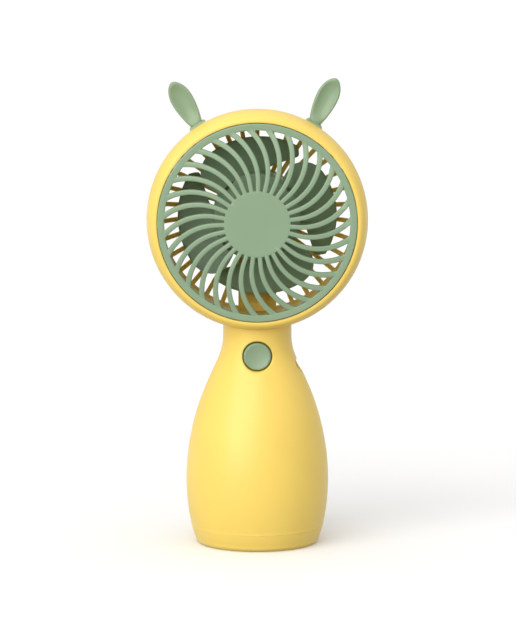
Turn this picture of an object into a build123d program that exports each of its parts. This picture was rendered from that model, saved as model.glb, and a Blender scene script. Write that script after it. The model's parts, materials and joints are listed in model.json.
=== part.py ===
from build123d import *
import math
import os

# Handheld electric fan: a round fan head with two ears on a bottle-shaped grip.
# Millimetres. Origin at the centre of the base, +Z up, the grille faces -Y.

# ---- head ----
HEAD_Z = 138.0            # height of the fan axis
RIM_Y = -20.5             # plane of the front rim
RIM_R = 41.7              # bore of the air duct
HEAD_R = 46.2             # largest radius of the ring
HEAD_MAX_Y = -9.5         # plane of that largest radius
DRUM_Y = 9.5              # where the rear dome starts
DRUM_R = 43.5             # outer radius there
DOME_DEPTH = 10.3         # rear dome, outside, from the drum plane to the flat hub
DOME_WALL = 2.0
SEAM_LIP_R = 43.2         # tongue between the two halves of the ring
SEAM_LIP_WIDTH = 1.0
SEAM_LIP_DEPTH = 2.0
LIP_GAP = 0.12
RIM_FULLNESS = 3.1        # how squarely the ring turns at its front rim
CROWN_REACH = 5.5         # how long it stays near its widest before the rim
FLANK_REACH = 8.0         # and behind it
DRUM_REACH = (4.0, 0.7)   # depth and radius of the last control point before the drum
DOME_FULLNESS = 0.552     # makes each quarter curve of the dome close to an ellipse

# ---- front grille ----
GRILLE_BARS = 31
GRILLE_FACE_Y = -25.0     # flat centre disc
GRILLE_RIM_Y = -20.9      # front of its outer ring
GRILLE_DISC_R = 13.7
GRILLE_RING_INNER = 38.6
GRILLE_RING_OUTER = 41.45
GRILLE_DEPTH = 2.8
GRILLE_SKIRT_INNER = 40.2
GRILLE_SKIRT_BACK = -17.4   # short skirt, ends in front of the air chamber
BAR_ROOT_WIDTH = 1.95
BAR_TIP_WIDTH = 2.4
BAR_BEND_START = 17.2     # radius where a bar starts to curve
BAR_BEND_R = 22.7         # radius of that curve
BAR_TURN = 64.0           # degrees through which a bar bends
BAR_PHASE = -1.3          # degrees, turn of the whole pattern

# ---- rear grille ----
REAR_BARS = 34
REAR_BAR_WIDTH = 1.9
REAR_HUB_R = 18.5
REAR_WINDOW_R = 40.4
STRUT_WIDTH = 16.0
CHANNEL_WIDTH = 7.0       # wire channel up the strut
CHANNEL_RIB = 1.0
CHANNEL_DEPTH = 1.8
COVER_THICKNESS = 0.8
CHANNEL_RADII = (19.5, 39.5)   # distance of its two ends from the fan axis
COVER_RADII = (19.6, 38.8)
COVER_LIP_FRONT = 8.82    # front of the plate that hides the foot of the leads
COVER_LIP_RADIUS = 41.35
PASSAGE = (4.8, 9.7, 12.7)     # hole for the leads: width, and its two depths
PASSAGE_TOP = 98.2

# ---- grip ----
WALL = 2.2
BASE_FLAT_R = 23.9
BASE_ROUND_Z = 2.2
BASE_SIDE_R = 26.0
CAP_Z = 7.3               # line between the casing and the bottom cap
CAP_LIP_HEIGHT = 3.0
NECK_R = 14.4
NECK_Z = 88.0
NECK_TOP = 99.0
NECK_CEILING = 93.8
FOOT_BULGE = 0.29         # how full the rounded foot edge is
GRIP_OUTLINE = [(BASE_SIDE_R, BASE_ROUND_Z), (27.7, CAP_Z), (29.9, 25.5), (28.5, 43.4),
                (24.7, 58.7), (18.4, 74.1), (15.3, 81.7), (NECK_R, NECK_Z)]
SEAM_GROOVE = 0.35        # fine line where two casings meet
SEAM_WIDTH = 0.3

# ---- button and switch ----
BUTTON_Z = 81.0
BUTTON_HOLE_R = 6.2
BUTTON_R = 5.7
BUTTON_FACE_Y = -15.5
BUTTON_FLANGE_R = 6.7
BUTTON_FLANGE_Y = -10.9
BUTTON_BACK_Y = -10.1
BUTTON_EDGE = 0.5
BUTTON_DISH_R = 26.0      # radius of the hollow in its face
BUTTON_DISH_DEPTH = 0.55
BUTTON_SKIN = 1.2
BUTTON_STEM_R = 1.6
HOLE_BEVEL = (0.9, 2.0)   # width and depth of the bevel round the hole
HOLE_BEVEL_Y = -14.6
COLLAR_T = 1.0
FLANGE_ROOM = 0.3         # free space round the flange
SWITCH_SIDE = 6.2
SWITCH_BODY_DEPTH = 3.4
PLUNGER_R = 1.75
PLUNGER_TIP_Y = -9.2
BOARD_T = 1.0
PLATE_T = 0.3
SWITCH_BOARD_FRONT = -2.9
SWITCH_BOARD_WIDTH = 14.0
SWITCH_BOARD_TOP = 89.0

# ---- charging port ----
PORT_Z = 75.3
PORT_RECESS = (12.4, 5.4) # width along Y, height
PORT_FLOOR_X = 15.6
SOCKET = (8.94, 3.2, 7.3) # width, height, length
SOCKET_WALL = 0.3
SOCKET_MOUTH_X = 15.4
SOCKET_GAP = 0.25
TONGUE = (6.7, 0.7)       # width and thickness of the contact blade

# ---- main board ----
MAIN_BOARD_Z = 72.7       # underside
MAIN_BOARD_R = 15.6
MAIN_BOARD_TRIM = (27.0, 28.0)
PIN_HALF = 0.3
PIN_PLACES = (-3.75, -1.25, 1.25, 3.75)
PIN_Y = -0.6
CHARGE_CHIP = (-4.0, 3.0, (5.0, 4.0, 1.5))    # x, y and size of each part on the board
DRIVER_CHIP = (3.4, 5.0, (3.0, 3.0, 1.1))
INDUCTOR = (-10.2, -4.5, 2.6, 3.0)            # x, y, radius, height
CAPACITOR = (1.3, 2.1, 1.1)
CAPACITOR_Y = -6.6
CAPACITOR_X = (-5.0, -1.5, 2.0, 5.5)
RESISTOR = (1.0, 1.7, 0.55)
RESISTOR_Y = 11.5
RESISTOR_X = (-4.0, -2.0, 0.0, 2.0, 4.0)

# ---- battery cell ----
CELL_R = 9.2
CELL_BOTTOM = 4.2
CELL_HEIGHT = 65.0
CRADLE_HEIGHTS = (15.0, 36.0, 57.0)
CRADLE_T = 1.6
CRADLE_GAP = 0.15
LEDGE_INNER = 12.5        # bore of the ledge under the main board
LEAD_NOTCH = (3.2, 2.6)   # width and depth of the notch for the battery lead
FOAM_R = 8.4
TAB_T = 0.2
TAB_WIDTH = 4.0
TERMINAL_R = 3.2          # raised positive cap
TERMINAL_T = 0.8
CELL_SIDE_LEAD = 10.3     # distance of the long battery lead from the axis
LEAD_R = 0.55
LEAD_PAIR_X = 0.9         # the two motor leads lie this far each side of the middle
RED_LEAD_Y = -6.0

# ---- motor ----
MOTOR_R = 12.2
MOTOR_FRONT = 5.6
MOTOR_BACK = 16.6
CAN_WALL = 0.8
END_CAP_BACK = 17.6
SHAFT_R = 1.0
SHAFT_FRONT = -3.2
SHAFT_BACK = 17.0
RUNNING_GAP = 0.04
BUSH_R = 2.6
MAGNET_R = (9.5, 11.35)
CORE_R = 9.0
CORE_Y = (8.2, 12.2)
COMMUTATOR_R = 2.3
COMMUTATOR_Y = (13.2, 14.8)
BRACKET_R = 13.3
BRACKET_FRONT = 4.8
BRACKET_FLANGE_Y = (13.5, 14.9)
BRACKET_SCREW_R = 15.4
BRACKET_SCREWS = 3
BRACKET_SCREW = (0.8, 4.2)  # radius, length
BRACKET_LUG_R = 2.6
BRACKET_POST_R = 2.2
NOSE = 0.6                # how far the bush holder of the can stands out, round and in front
NOSE_FRONT = 1.1
BUSH_DEPTH = 2.2          # how far the front bush reaches into the can
REAR_BUSH = (1.4, 0.2)    # inside the cap, and short of its back
MAGNET_GAP = 6.0
POLES = 3
POLE_WIDTH = 15.0
POLE_FACE_T = 1.4
TOOTH_WIDTH = 3.4
CORE_HUB_R = 3.4
COIL = (6.4, 3.0)         # section of a coil in the front view
COIL_R = 5.3
COIL_OVERHANG = 0.9
COMMUTATOR_SLOT = 0.3
BRUSH = (0.4, 7.0)        # thickness and length of a brush leaf
TERMINAL_X = 3.5

# ---- impeller ----
BLADES = 4
HUB_R = 18.6
HUB_WALL = 1.3
HUB_FRONT = -1.0
HUB_BACK = 11.6
BLADE_TIP_R = 33.4
BLADE_T = 1.3
BLADE_MID_Y = 3.6
BLADE_RISE = 11.7         # fore-and-aft travel of a blade over its whole width
BLADE_MIDDLE_DEG = 8.0
BLADE_WIDTH_DEG = 72.0
BLADE_MARGIN_DEG = 40.0   # extra width of the raw sheet, trimmed away later
BLADE_LEAD = [(18.4, 57.0), (25.1, 58.0), (30.1, 52.0), (33.0, 42.0)]      # radius, degrees
BLADE_TRAIL = [(33.4, -30.5), (29.9, -36.0), (25.9, -29.0), (23.2, -23.0), (20.9, -14.0), (18.4, -12.0)]
BLADE_TIP_DEG = 5.0
BLADE_ROOT_DEG = 20.0
BOSS_R = 3.2
BOSS_BACK = 3.8
HUB_EDGE = 1.6
HUB_FACE_T = 1.4

# ---- ears ----
EAR_ANGLE = 32.0          # from straight up to the foot of the ear
EAR_LEAN = 28.5           # lean of the ear itself
EAR_LENGTH = 21.5
EAR_HALF = 4.2
EAR_FOOT_HALF = 2.3
EAR_T = 3.4
EAR_SADDLE_DEG = 9.2
EAR_SADDLE_DEPTH = 6.0
EAR_SADDLE_T = 0.7
EAR_EDGE = 1.1            # rounding of its edges
EAR_DISH = (2.0, 9.0, 0.57)    # depth and height radii of the hollow, and its centre along the ear
EAR_STEM_R = 44.9         # distance of the stem and of its hook from the fan axis
EAR_HOOK_R = 43.6
EAR_STEM_LENGTH = 4.0
EAR_HOOK = (1.2, 1.4)     # how far the hook stands out each side, and its height
EAR_TAB_HALF = 1.0        # half thickness of stem and hook
EAR_TAB_GAP = 0.15

# ---- screws ----
LOW_SCREWS = (20.5, 22.0)   # x, z of the lower casing screws
HIGH_SCREWS = (13.6, 62.0)
SCREW_SEAT_Y = 8.0
SCREW_BOSS_R = 2.6
SCREW_R = 1.0
SCREW_HEAD_R = 1.9
SCREW_HEAD_T = 1.3
SCREW_LENGTH = 13.0
BASE_SCREW_Y = 19.0
BASE_SCREW_SEAT = 4.0
BASE_SCREW_LENGTH = 10.0
BASE_POST_TOP = 16.5
PILOT_FRONT = -7.0
HEAD_GAP = 0.2
THREAD_GAP = 0.02
SHANK_GAP = 0.1

# ---- worked out from the sizes above ----
CELL_TOP = CELL_BOTTOM + CELL_HEIGHT
COLLAR_BACK_Y = BUTTON_FLANGE_Y - 0.2
CAP_LIP_R = BASE_SIDE_R - WALL + 0.5
CAP_LIP_T = 1.4
ROUND_END_FLAT = 0.02     # straight bit left at the end of a rounded slot
BEYOND = 60.0             # outside the object on every side of its axis
FAR = 300.0               # above its top

SECTION = Plane(origin=(0, 0, HEAD_Z), x_dir=(0, 1, 0), z_dir=(1, 0, 0))
FAN_AXIS = Axis((0, 0, HEAD_Z), (0, 1, 0))


def facing(y, z=HEAD_Z):
    """Plane square to the fan axis at depth y, seen from the front."""
    return Plane(origin=(0, y, z), x_dir=(1, 0, 0), z_dir=(0, -1, 0))


def between(sketch, front, back, z=HEAD_Z):
    """Solid of a front-view sketch, from depth front to depth back."""
    return extrude(facing(back, z) * sketch, back - front, dir=(0, -1, 0))


def spun(outline):
    """Solid turned about the fan axis from an outline in (depth, radius)."""
    return revolve(SECTION * make_face(outline), FAN_AXIS)


def disc(radius, front, back, inner=0.0, z=HEAD_Z):
    sketch = Circle(radius)
    if inner:
        sketch -= Circle(inner)
    return between(sketch, front, back, z)


def upright(sketch, bottom, top):
    return extrude(Plane.XY.offset(bottom) * sketch, top - bottom, dir=(0, 0, 1))


def polar(radius, degrees):
    """Point in the front view, degrees counted anticlockwise from straight up."""
    turn = math.radians(degrees)
    return (-radius * math.sin(turn), radius * math.cos(turn))


def box_between(low, high):
    size = [h - l for l, h in zip(low, high)]
    middle = [(h + l) / 2 for l, h in zip(low, high)]
    return Pos(*middle) * Box(*size)


def save(name, shape):
    """Write one node, as one solid or as a group of separate solids."""
    solids = shape.solids()
    part = solids[0] if len(solids) == 1 else Compound(children=list(solids))
    part.label = name
    export_step(part, "parts/" + name + ".step")


# ---------------------------------------------------------------- casing

def grip(inset):
    """The bottle-shaped grip, full solid, drawn in by inset."""
    side = [(r - inset, z) for r, z in GRIP_OUTLINE]
    side[0] = (BASE_SIDE_R - inset, max(BASE_ROUND_Z, inset + 1.0))
    foot = [(0, inset), (BASE_FLAT_R - inset, inset)]
    outline = Curve() + [
        Line(foot[0], foot[1]),
        ThreePointArc(foot[1], arc_middle(foot[1], side[0]), side[0]),
        Spline(*side, tangents=[(0.2, 1), (0, 1)]),
        Line(side[-1], (NECK_R - inset, NECK_TOP)),
        Line((NECK_R - inset, NECK_TOP), (0, NECK_TOP)),
        Line((0, NECK_TOP), foot[0]),
    ]
    return revolve(Plane.XZ * make_face(outline), Axis.Z)


def arc_middle(start, end):
    """Middle point of the rounded foot edge, bulging down and out."""
    return (end[0] - FOOT_BULGE * (end[0] - start[0]), start[1] + FOOT_BULGE * (end[1] - start[1]))


def dome(depth, radius):
    """Rounded rear of the head: flat across the hub, then curving forward to the drum."""
    back = DRUM_Y + depth
    shoulder = REAR_HUB_R + DOME_FULLNESS * (radius - REAR_HUB_R)
    outline = Curve() + [
        Line((DRUM_Y, 0), (DRUM_Y, radius)),
        Bezier((DRUM_Y, radius), (DRUM_Y + DOME_FULLNESS * depth, radius),
               (back, shoulder), (back, REAR_HUB_R)),
        Line((back, REAR_HUB_R), (back, 0)),
        Line((back, 0), (DRUM_Y, 0)),
    ]
    return spun(outline)


def head(inset):
    """The fan head, full solid, drawn in by inset."""
    rim = (RIM_Y + inset, RIM_R)
    widest = (HEAD_MAX_Y, HEAD_R - inset)
    drum = (DRUM_Y, DRUM_R - inset)
    outline = Curve() + [
        Line((RIM_Y + inset, 0), rim),
        Bezier(rim, (rim[0], RIM_R + RIM_FULLNESS), (HEAD_MAX_Y - CROWN_REACH, widest[1]), widest),
        Bezier(widest, (HEAD_MAX_Y + FLANK_REACH, widest[1]),
               (DRUM_Y - DRUM_REACH[0], drum[1] + DRUM_REACH[1]), drum),
        Line(drum, (DRUM_Y, 0)),
        Line((DRUM_Y, 0), (RIM_Y + inset, 0)),
    ]
    return spun(outline) + dome(DOME_DEPTH - inset, DRUM_R - inset)


def dome_layer(front, back):
    """Shell of the rear dome between two depths measured in from its outer skin."""
    return (dome(DOME_DEPTH - back, DRUM_R - back)
            - dome(DOME_DEPTH - front, DRUM_R - front))


def duct():
    """Air space through the head."""
    return disc(RIM_R, RIM_Y - 1, DRUM_Y) + dome(DOME_DEPTH - DOME_WALL, RIM_R)


def rear_windows():
    """Openings between the straight rear bars."""
    bars = Sketch() + [
        Rot(0, 0, i * 360 / REAR_BARS) * Pos(0, REAR_WINDOW_R / 2) * Rectangle(REAR_BAR_WIDTH, REAR_WINDOW_R)
        for i in range(REAR_BARS)
    ]
    strut = Pos(0, -REAR_WINDOW_R / 2) * Rectangle(STRUT_WIDTH, REAR_WINDOW_R)
    sketch = Circle(REAR_WINDOW_R) - Circle(REAR_HUB_R) - bars - strut
    return between(sketch, DRUM_Y, DRUM_Y + DOME_DEPTH + 1)


def port_cut():
    """Recess for the plug and the opening behind it."""
    width, height = PORT_RECESS
    face = Plane(origin=(PORT_FLOOR_X, 0, PORT_Z), x_dir=(0, 1, 0), z_dir=(1, 0, 0))
    recess = extrude(face * RectangleRounded(width, height, height / 2 - ROUND_END_FLAT), GRIP_OUTLINE[0][0])
    slot_width = SOCKET[0] + 2 * SOCKET_GAP
    slot_height = SOCKET[1] + 2 * SOCKET_GAP
    slot = extrude(face * RectangleRounded(slot_width, slot_height, SOCKET[1] / 2), -2 * WALL)
    return recess + slot


def button_cut():
    """Round hole for the button with a bevelled edge, and room for the flange behind it."""
    inside = BUTTON_BACK_Y + 2
    hole = disc(BUTTON_HOLE_R, BUTTON_FACE_Y - 4.5, inside, z=BUTTON_Z)
    width, depth = HOLE_BEVEL
    cone = Cone(BUTTON_HOLE_R - 0.1, BUTTON_HOLE_R + width, depth)
    bevel = Pos(0, HOLE_BEVEL_Y, BUTTON_Z) * Rot(90, 0, 0) * cone
    room = disc(BUTTON_FLANGE_R + FLANGE_ROOM, COLLAR_BACK_Y, inside, z=BUTTON_Z)
    return hole + bevel + room


def ear_pocket(side):
    """Slot in the ring for the tab of one ear."""
    throat = Pos(0, EAR_STEM_R + 0.6) * Rectangle(2 * (EAR_FOOT_HALF + EAR_TAB_GAP), EAR_STEM_LENGTH)
    width, height = EAR_HOOK
    room = Rectangle(2 * (EAR_FOOT_HALF + width + EAR_TAB_GAP), height + 2 * EAR_TAB_GAP)
    pocket = Rot(0, 0, -side * EAR_ANGLE) * (throat + Pos(0, EAR_HOOK_R) * room)
    return between(pocket, -EAR_TAB_HALF - 0.1, EAR_TAB_HALF + 0.1)


def casing_blank():
    """Whole hollow casing before it is split."""
    blank = grip(0) + head(0)
    inside = grip(WALL) - box_between((-FAR, -FAR, NECK_CEILING), (FAR, FAR, FAR))
    blank -= inside
    blank -= duct()
    blank -= rear_windows()
    blank -= port_cut()
    blank -= ear_pocket(-1) + ear_pocket(1)
    skin = grip(SEAM_GROOVE) + head(SEAM_GROOVE)
    seam = box_between((-BEYOND, -SEAM_WIDTH / 2, CAP_Z), (BEYOND, SEAM_WIDTH / 2, FAR)) - skin
    cap_line = upright(Circle(BEYOND), CAP_Z - SEAM_WIDTH / 2, CAP_Z + SEAM_WIDTH / 2) - skin
    return blank - seam - cap_line


def cradle_ribs():
    """Level webs inside the grip that hold the cell and carry the main board."""
    webs = Part()
    for height in CRADLE_HEIGHTS:
        webs += upright(Circle(BEYOND) - Circle(CELL_R + CRADLE_GAP), height, height + CRADLE_T)
    ledge = upright(Circle(BEYOND) - Circle(LEDGE_INNER), MAIN_BOARD_Z - CRADLE_T, MAIN_BOARD_Z)
    width, depth = LEAD_NOTCH
    lead_notch = box_between((-width / 2, CELL_R, 0), (width / 2, CELL_R + depth, MAIN_BOARD_Z - CRADLE_T))
    return (webs + ledge - lead_notch) & grip(WALL / 2)


def screw_places():
    return [(side * x, z) for x, z in (LOW_SCREWS, HIGH_SCREWS) for side in (-1, 1)]


def screw_bosses():
    """Columns for the casing screws, front wall to rear wall."""
    columns = Sketch() + [Pos(x, z) * Circle(SCREW_BOSS_R) for x, z in screw_places()]
    return between(columns, -BEYOND, BEYOND, z=0) & grip(WALL / 2)


def screw_bores(pilot_radius):
    """Counterbores from behind, and pilot holes of the given radius."""
    seats = Sketch() + [Pos(x, z) * Circle(SCREW_HEAD_R + HEAD_GAP) for x, z in screw_places()]
    pilots = Sketch() + [Pos(x, z) * Circle(pilot_radius) for x, z in screw_places()]
    return between(seats, SCREW_SEAT_Y, BEYOND, z=0) + between(pilots, PILOT_FRONT, SCREW_SEAT_Y, z=0)


def at_base_screws(sketch):
    """Copies of a sketch at the two screws of the bottom cap, seen from above."""
    return Sketch() + [Pos(0, y) * sketch for y in (-BASE_SCREW_Y, BASE_SCREW_Y)]


def base_bosses():
    """Posts in the casing that take the two screws of the bottom cap, and their pilot holes."""
    web = Rectangle(CRADLE_T, 9)
    webs = Sketch() + [Pos(0, y * 1.2) * web for y in (-BASE_SCREW_Y, BASE_SCREW_Y)]
    posts = at_base_screws(Circle(SCREW_BOSS_R + 0.2))
    column = upright(posts + webs, CAP_Z + 0.1, BASE_POST_TOP) & grip(WALL / 2)
    return column, upright(at_base_screws(Circle(SCREW_R)), CAP_Z, BASE_POST_TOP - 1)


def inner_ribs(posts, side):
    """Everything moulded inside one half of the grip, -1 for the front and +1 for the rear."""
    low_y, high_y = sorted((0, side * BEYOND))
    half = box_between((-BEYOND, low_y, CAP_Z), (BEYOND, high_y, NECK_Z))
    return (cradle_ribs() + screw_bosses() + posts) & half


def neck_gap(margin):
    """Part of the ring's seam that opens into the neck, where the tongue and groove stop."""
    half = NECK_R - WALL + margin
    return box_between((-half, -9, NECK_Z - 8), (half, 9, NECK_TOP + 1))


def front_shell(blank):
    shell = blank & box_between((-BEYOND, -BEYOND, CAP_Z), (BEYOND, 0, FAR))
    collar = disc(BUTTON_HOLE_R + COLLAR_T, BUTTON_FACE_Y + 0.5, COLLAR_BACK_Y, z=BUTTON_Z) & grip(WALL / 2)
    posts, pilots = base_bosses()
    shell = shell + inner_ribs(posts, -1)
    shell = shell + collar
    shell -= button_cut()
    shell -= screw_bores(SCREW_R)
    shell -= pilots
    shell -= port_cut()
    outer = SEAM_LIP_R + SEAM_LIP_WIDTH + LIP_GAP
    groove = disc(outer, -SEAM_LIP_DEPTH - 0.3, 0.1, SEAM_LIP_R - LIP_GAP)
    shell -= groove - neck_gap(0.3)
    return shell - cap_socket()


def cap_socket():
    """Room for the lip of the bottom cap."""
    top = CAP_Z + CAP_LIP_HEIGHT + 0.2
    room = Circle(CAP_LIP_R + 0.1) - Circle(CAP_LIP_R - CAP_LIP_T - 0.1)
    return upright(room, CAP_Z - 1, top)


def tongue():
    """Lip of the rear half that enters the groove of the front half."""
    lip = disc(SEAM_LIP_R + SEAM_LIP_WIDTH, -SEAM_LIP_DEPTH, 0.5, SEAM_LIP_R)
    lip -= neck_gap(0.8)
    for side in (-1, 1):
        gap = Rot(0, 0, -side * EAR_ANGLE) * Pos(0, EAR_HOOK_R) * Rectangle(2 * EAR_FOOT_HALF + 4, 6)
        lip -= between(gap, -5, EAR_TAB_HALF + 0.2)
    return lip


def wire_channel():
    """Two ribs up the inside of the strut, with the leads between them."""
    layer = dome_layer(DOME_WALL + CHANNEL_DEPTH, DOME_WALL - 0.4)
    half = CHANNEL_WIDTH / 2
    near, far = CHANNEL_RADII
    outer = box_between((-half, 0, HEAD_Z - far), (half, BEYOND, HEAD_Z - near))
    room = half - CHANNEL_RIB
    inner = box_between((-room, 0, HEAD_Z - HEAD_R), (room, BEYOND, HEAD_Z))
    return (layer & outer) - inner


def bracket_spots():
    return [polar(BRACKET_SCREW_R, i * 360 / BRACKET_SCREWS) for i in range(BRACKET_SCREWS)]


def bracket_posts():
    """Bosses on the rear hub for the motor bracket."""
    posts = Sketch() + [Pos(x, z) * Circle(BRACKET_POST_R) for x, z in bracket_spots()]
    pilots = Sketch() + [Pos(x, z) * Circle(BRACKET_SCREW[0]) for x, z in bracket_spots()]
    tip = BRACKET_FLANGE_Y[0] + BRACKET_SCREW[1]
    columns = between(posts, BRACKET_FLANGE_Y[1], DRUM_Y + DOME_DEPTH - DOME_WALL)
    return columns, between(pilots, DRUM_Y, tip + 0.3)


def rear_shell(blank):
    shell = blank & box_between((-BEYOND, 0, CAP_Z), (BEYOND, BEYOND, FAR))
    posts, pilots = base_bosses()
    bosses, boss_pilots = bracket_posts()
    shell = shell + inner_ribs(posts, 1) + tongue() + wire_channel() + bosses
    shell -= screw_bores(SCREW_R + SHANK_GAP) + pilots + boss_pilots + port_cut() + cap_socket()
    width, front, back = PASSAGE
    return shell - box_between((-width / 2, front, NECK_CEILING - 1), (width / 2, back, PASSAGE_TOP))


def bottom_cap(blank):
    """Foot with a lip into the casing, a ring round the cell and two screw posts."""
    cap = blank & box_between((-BEYOND, -BEYOND, -1), (BEYOND, BEYOND, CAP_Z))
    lip = upright(Circle(CAP_LIP_R) - Circle(CAP_LIP_R - CAP_LIP_T), WALL + 1.9, CAP_Z + CAP_LIP_HEIGHT)
    cell_ring = Circle(CELL_R + CRADLE_T) - Circle(CELL_R + CRADLE_GAP)
    tab_half = TAB_WIDTH / 2 + 0.4
    tab_gap = box_between((-tab_half, CELL_R - 1, CELL_BOTTOM - 2 * TAB_T), (tab_half, CELL_R + 3, CAP_Z + 1))
    cap = cap + lip + (upright(cell_ring, WALL - 0.4, CAP_Z) - tab_gap)
    cap += upright(at_base_screws(Circle(SCREW_BOSS_R + 0.6)), 1.0, CAP_Z)
    cap -= upright(at_base_screws(Circle(SCREW_HEAD_R + HEAD_GAP)), -1, BASE_SCREW_SEAT)
    return cap - upright(at_base_screws(Circle(SCREW_R + SHANK_GAP)), 0, CAP_Z + 5)


# ---------------------------------------------------------------- front grille and ears

def curved_bar():
    """Front view of one grille bar, straight out of the disc and then bending anticlockwise."""
    start = GRILLE_DISC_R - 2
    turn = math.radians(BAR_TURN)
    tip = (-BAR_BEND_R + BAR_BEND_R * math.cos(turn), BAR_BEND_START + BAR_BEND_R * math.sin(turn))
    across = (math.cos(turn), math.sin(turn))
    root_half = BAR_ROOT_WIDTH / 2
    tip_half = BAR_TIP_WIDTH / 2
    tip_left = (tip[0] - across[0] * tip_half, tip[1] - across[1] * tip_half)
    tip_right = (tip[0] + across[0] * tip_half, tip[1] + across[1] * tip_half)
    outline = Curve() + [
        Line((root_half, start), (root_half, BAR_BEND_START)),
        TangentArc((root_half, BAR_BEND_START), tip_right, tangent=(0, 1)),
        Line(tip_right, tip_left),
        TangentArc((-root_half, BAR_BEND_START), tip_left, tangent=(0, 1)),
        Line((-root_half, BAR_BEND_START), (-root_half, start)),
        Line((-root_half, start), (root_half, start)),
    ]
    return make_face(outline)


def front_grille():
    """Dished grille with a flat disc, curved bars, an outer ring and a skirt into the duct."""
    front_edge = (GRILLE_FACE_Y, GRILLE_DISC_R)
    ring_edge = (GRILLE_RIM_Y, GRILLE_RING_INNER)
    back_ring = (GRILLE_RIM_Y + GRILLE_DEPTH, GRILLE_RING_INNER)
    back_edge = (GRILLE_FACE_Y + GRILLE_DEPTH, GRILLE_DISC_R)
    dish = spun(Curve() + [
        Line((GRILLE_FACE_Y, 0), front_edge),
        TangentArc(front_edge, ring_edge, tangent=(0, 1)),
        Line(ring_edge, (GRILLE_RIM_Y, GRILLE_RING_OUTER)),
        Line((GRILLE_RIM_Y, GRILLE_RING_OUTER), (GRILLE_RIM_Y + GRILLE_DEPTH, GRILLE_RING_OUTER)),
        Line((GRILLE_RIM_Y + GRILLE_DEPTH, GRILLE_RING_OUTER), back_ring),
        TangentArc(back_edge, back_ring, tangent=(0, 1)),
        Line(back_edge, (GRILLE_FACE_Y + GRILLE_DEPTH, 0)),
        Line((GRILLE_FACE_Y + GRILLE_DEPTH, 0), (GRILLE_FACE_Y, 0)),
    ])
    bar = curved_bar()
    bars = Sketch() + [Rot(0, 0, BAR_PHASE + i * 360 / GRILLE_BARS) * bar for i in range(GRILLE_BARS)]
    windows = Circle(GRILLE_RING_INNER) - Circle(GRILLE_DISC_R) - bars
    grille = dish - between(windows, GRILLE_FACE_Y - 1, GRILLE_RIM_Y + GRILLE_DEPTH + 1)
    skirt = disc(GRILLE_RING_OUTER, GRILLE_RIM_Y + 1, GRILLE_SKIRT_BACK, GRILLE_SKIRT_INNER)
    return grille + skirt


def ear_outline():
    """Front view of an ear standing straight up, narrow at the foot and widest near the top."""
    side = [(EAR_FOOT_HALF, 0), (EAR_HALF * 0.93, EAR_LENGTH * 0.42), (EAR_HALF, EAR_LENGTH * 0.66),
            (0, EAR_LENGTH)]
    other = [(-x, z) for x, z in reversed(side)]
    right = Spline(*side, tangents=[(0.25, 1), (-1, 0)])
    left = Spline(*other, tangents=[(-1, 0), (0.25, -1)])
    return make_face(Curve() + [right, left, Line(other[-1], side[0])])


def ear(side):
    """One ear: a dished blade, a saddle on the ring and a hooked tab into the seam."""
    blade = between(ear_outline(), -EAR_T / 2, EAR_T / 2, z=0)
    blade = fillet(blade.edges().filter_by(lambda e: e.center().Z > 0.5), EAR_EDGE)
    depth, height, middle = EAR_DISH
    hollow = scale(Sphere(1), by=(EAR_HALF - 1.2, depth, height))
    blade -= Pos(0, -EAR_T / 2 - 0.5, EAR_LENGTH * middle) * hollow
    foot_x, foot_z = polar(HEAD_R - 0.4, -side * EAR_ANGLE)
    blade = Pos(foot_x, 0, HEAD_Z + foot_z) * Rot(0, side * EAR_LEAN, 0) * blade
    half = math.radians(EAR_SADDLE_DEG / 2)
    spread = BEYOND * math.tan(half)
    wedge = Polygon((0, 0), (-spread, BEYOND), (spread, BEYOND), align=None)
    saddle_sketch = wedge & (Circle(HEAD_R + EAR_SADDLE_T) - Circle(HEAD_R - 0.9))
    saddle_sketch = Rot(0, 0, -side * EAR_ANGLE) * saddle_sketch
    saddle = between(saddle_sketch, -EAR_SADDLE_DEPTH / 2, EAR_SADDLE_DEPTH / 2) - head(-0.05)
    stem = Pos(0, EAR_STEM_R) * Rectangle(2 * EAR_FOOT_HALF, EAR_STEM_LENGTH)
    hook = Pos(0, EAR_HOOK_R) * Rectangle(2 * (EAR_FOOT_HALF + EAR_HOOK[0]), EAR_HOOK[1])
    tab = between(Rot(0, 0, -side * EAR_ANGLE) * (stem + hook), -EAR_TAB_HALF, EAR_TAB_HALF)
    return (blade - head(0)) + saddle + tab


# ---------------------------------------------------------------- impeller

def blade_outline():
    """Front view of one blade. Degrees run anticlockwise, the middle of the pitch is straight up."""
    leading = Spline(*[polar(radius, degrees) for radius, degrees in BLADE_LEAD])
    trailing = Polyline(*[polar(radius, degrees) for radius, degrees in BLADE_TRAIL])
    tip = ThreePointArc(leading @ 1, polar(BLADE_TIP_R, BLADE_TIP_DEG), trailing @ 0)
    root = ThreePointArc(trailing @ 1, polar(BLADE_TRAIL[-1][0], BLADE_ROOT_DEG), leading @ 0)
    return make_face(Curve() + [leading, tip, trailing, root])


def blade_sheet():
    """Pitched blade before trimming: it runs from front to back round the axis."""
    inner = HUB_R - 1.5
    outer = BLADE_TIP_R + 2
    sheet_width = BLADE_WIDTH_DEG + BLADE_MARGIN_DEG
    steps_out = 4
    steps_round = 8
    rows = []
    for i in range(steps_out + 1):
        radius = inner + i * (outer - inner) / steps_out
        row = []
        for j in range(steps_round + 1):
            share = j / steps_round - 0.5
            x, z = polar(radius, BLADE_MIDDLE_DEG - share * sheet_width)
            depth = BLADE_MID_Y + share * BLADE_RISE * sheet_width / BLADE_WIDTH_DEG
            row.append(Vector(x, depth, HEAD_Z + z))
        rows.append(row)
    surface = Face.make_surface_from_array_of_points(rows)
    return thicken(surface, BLADE_T / 2, both=True)


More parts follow.
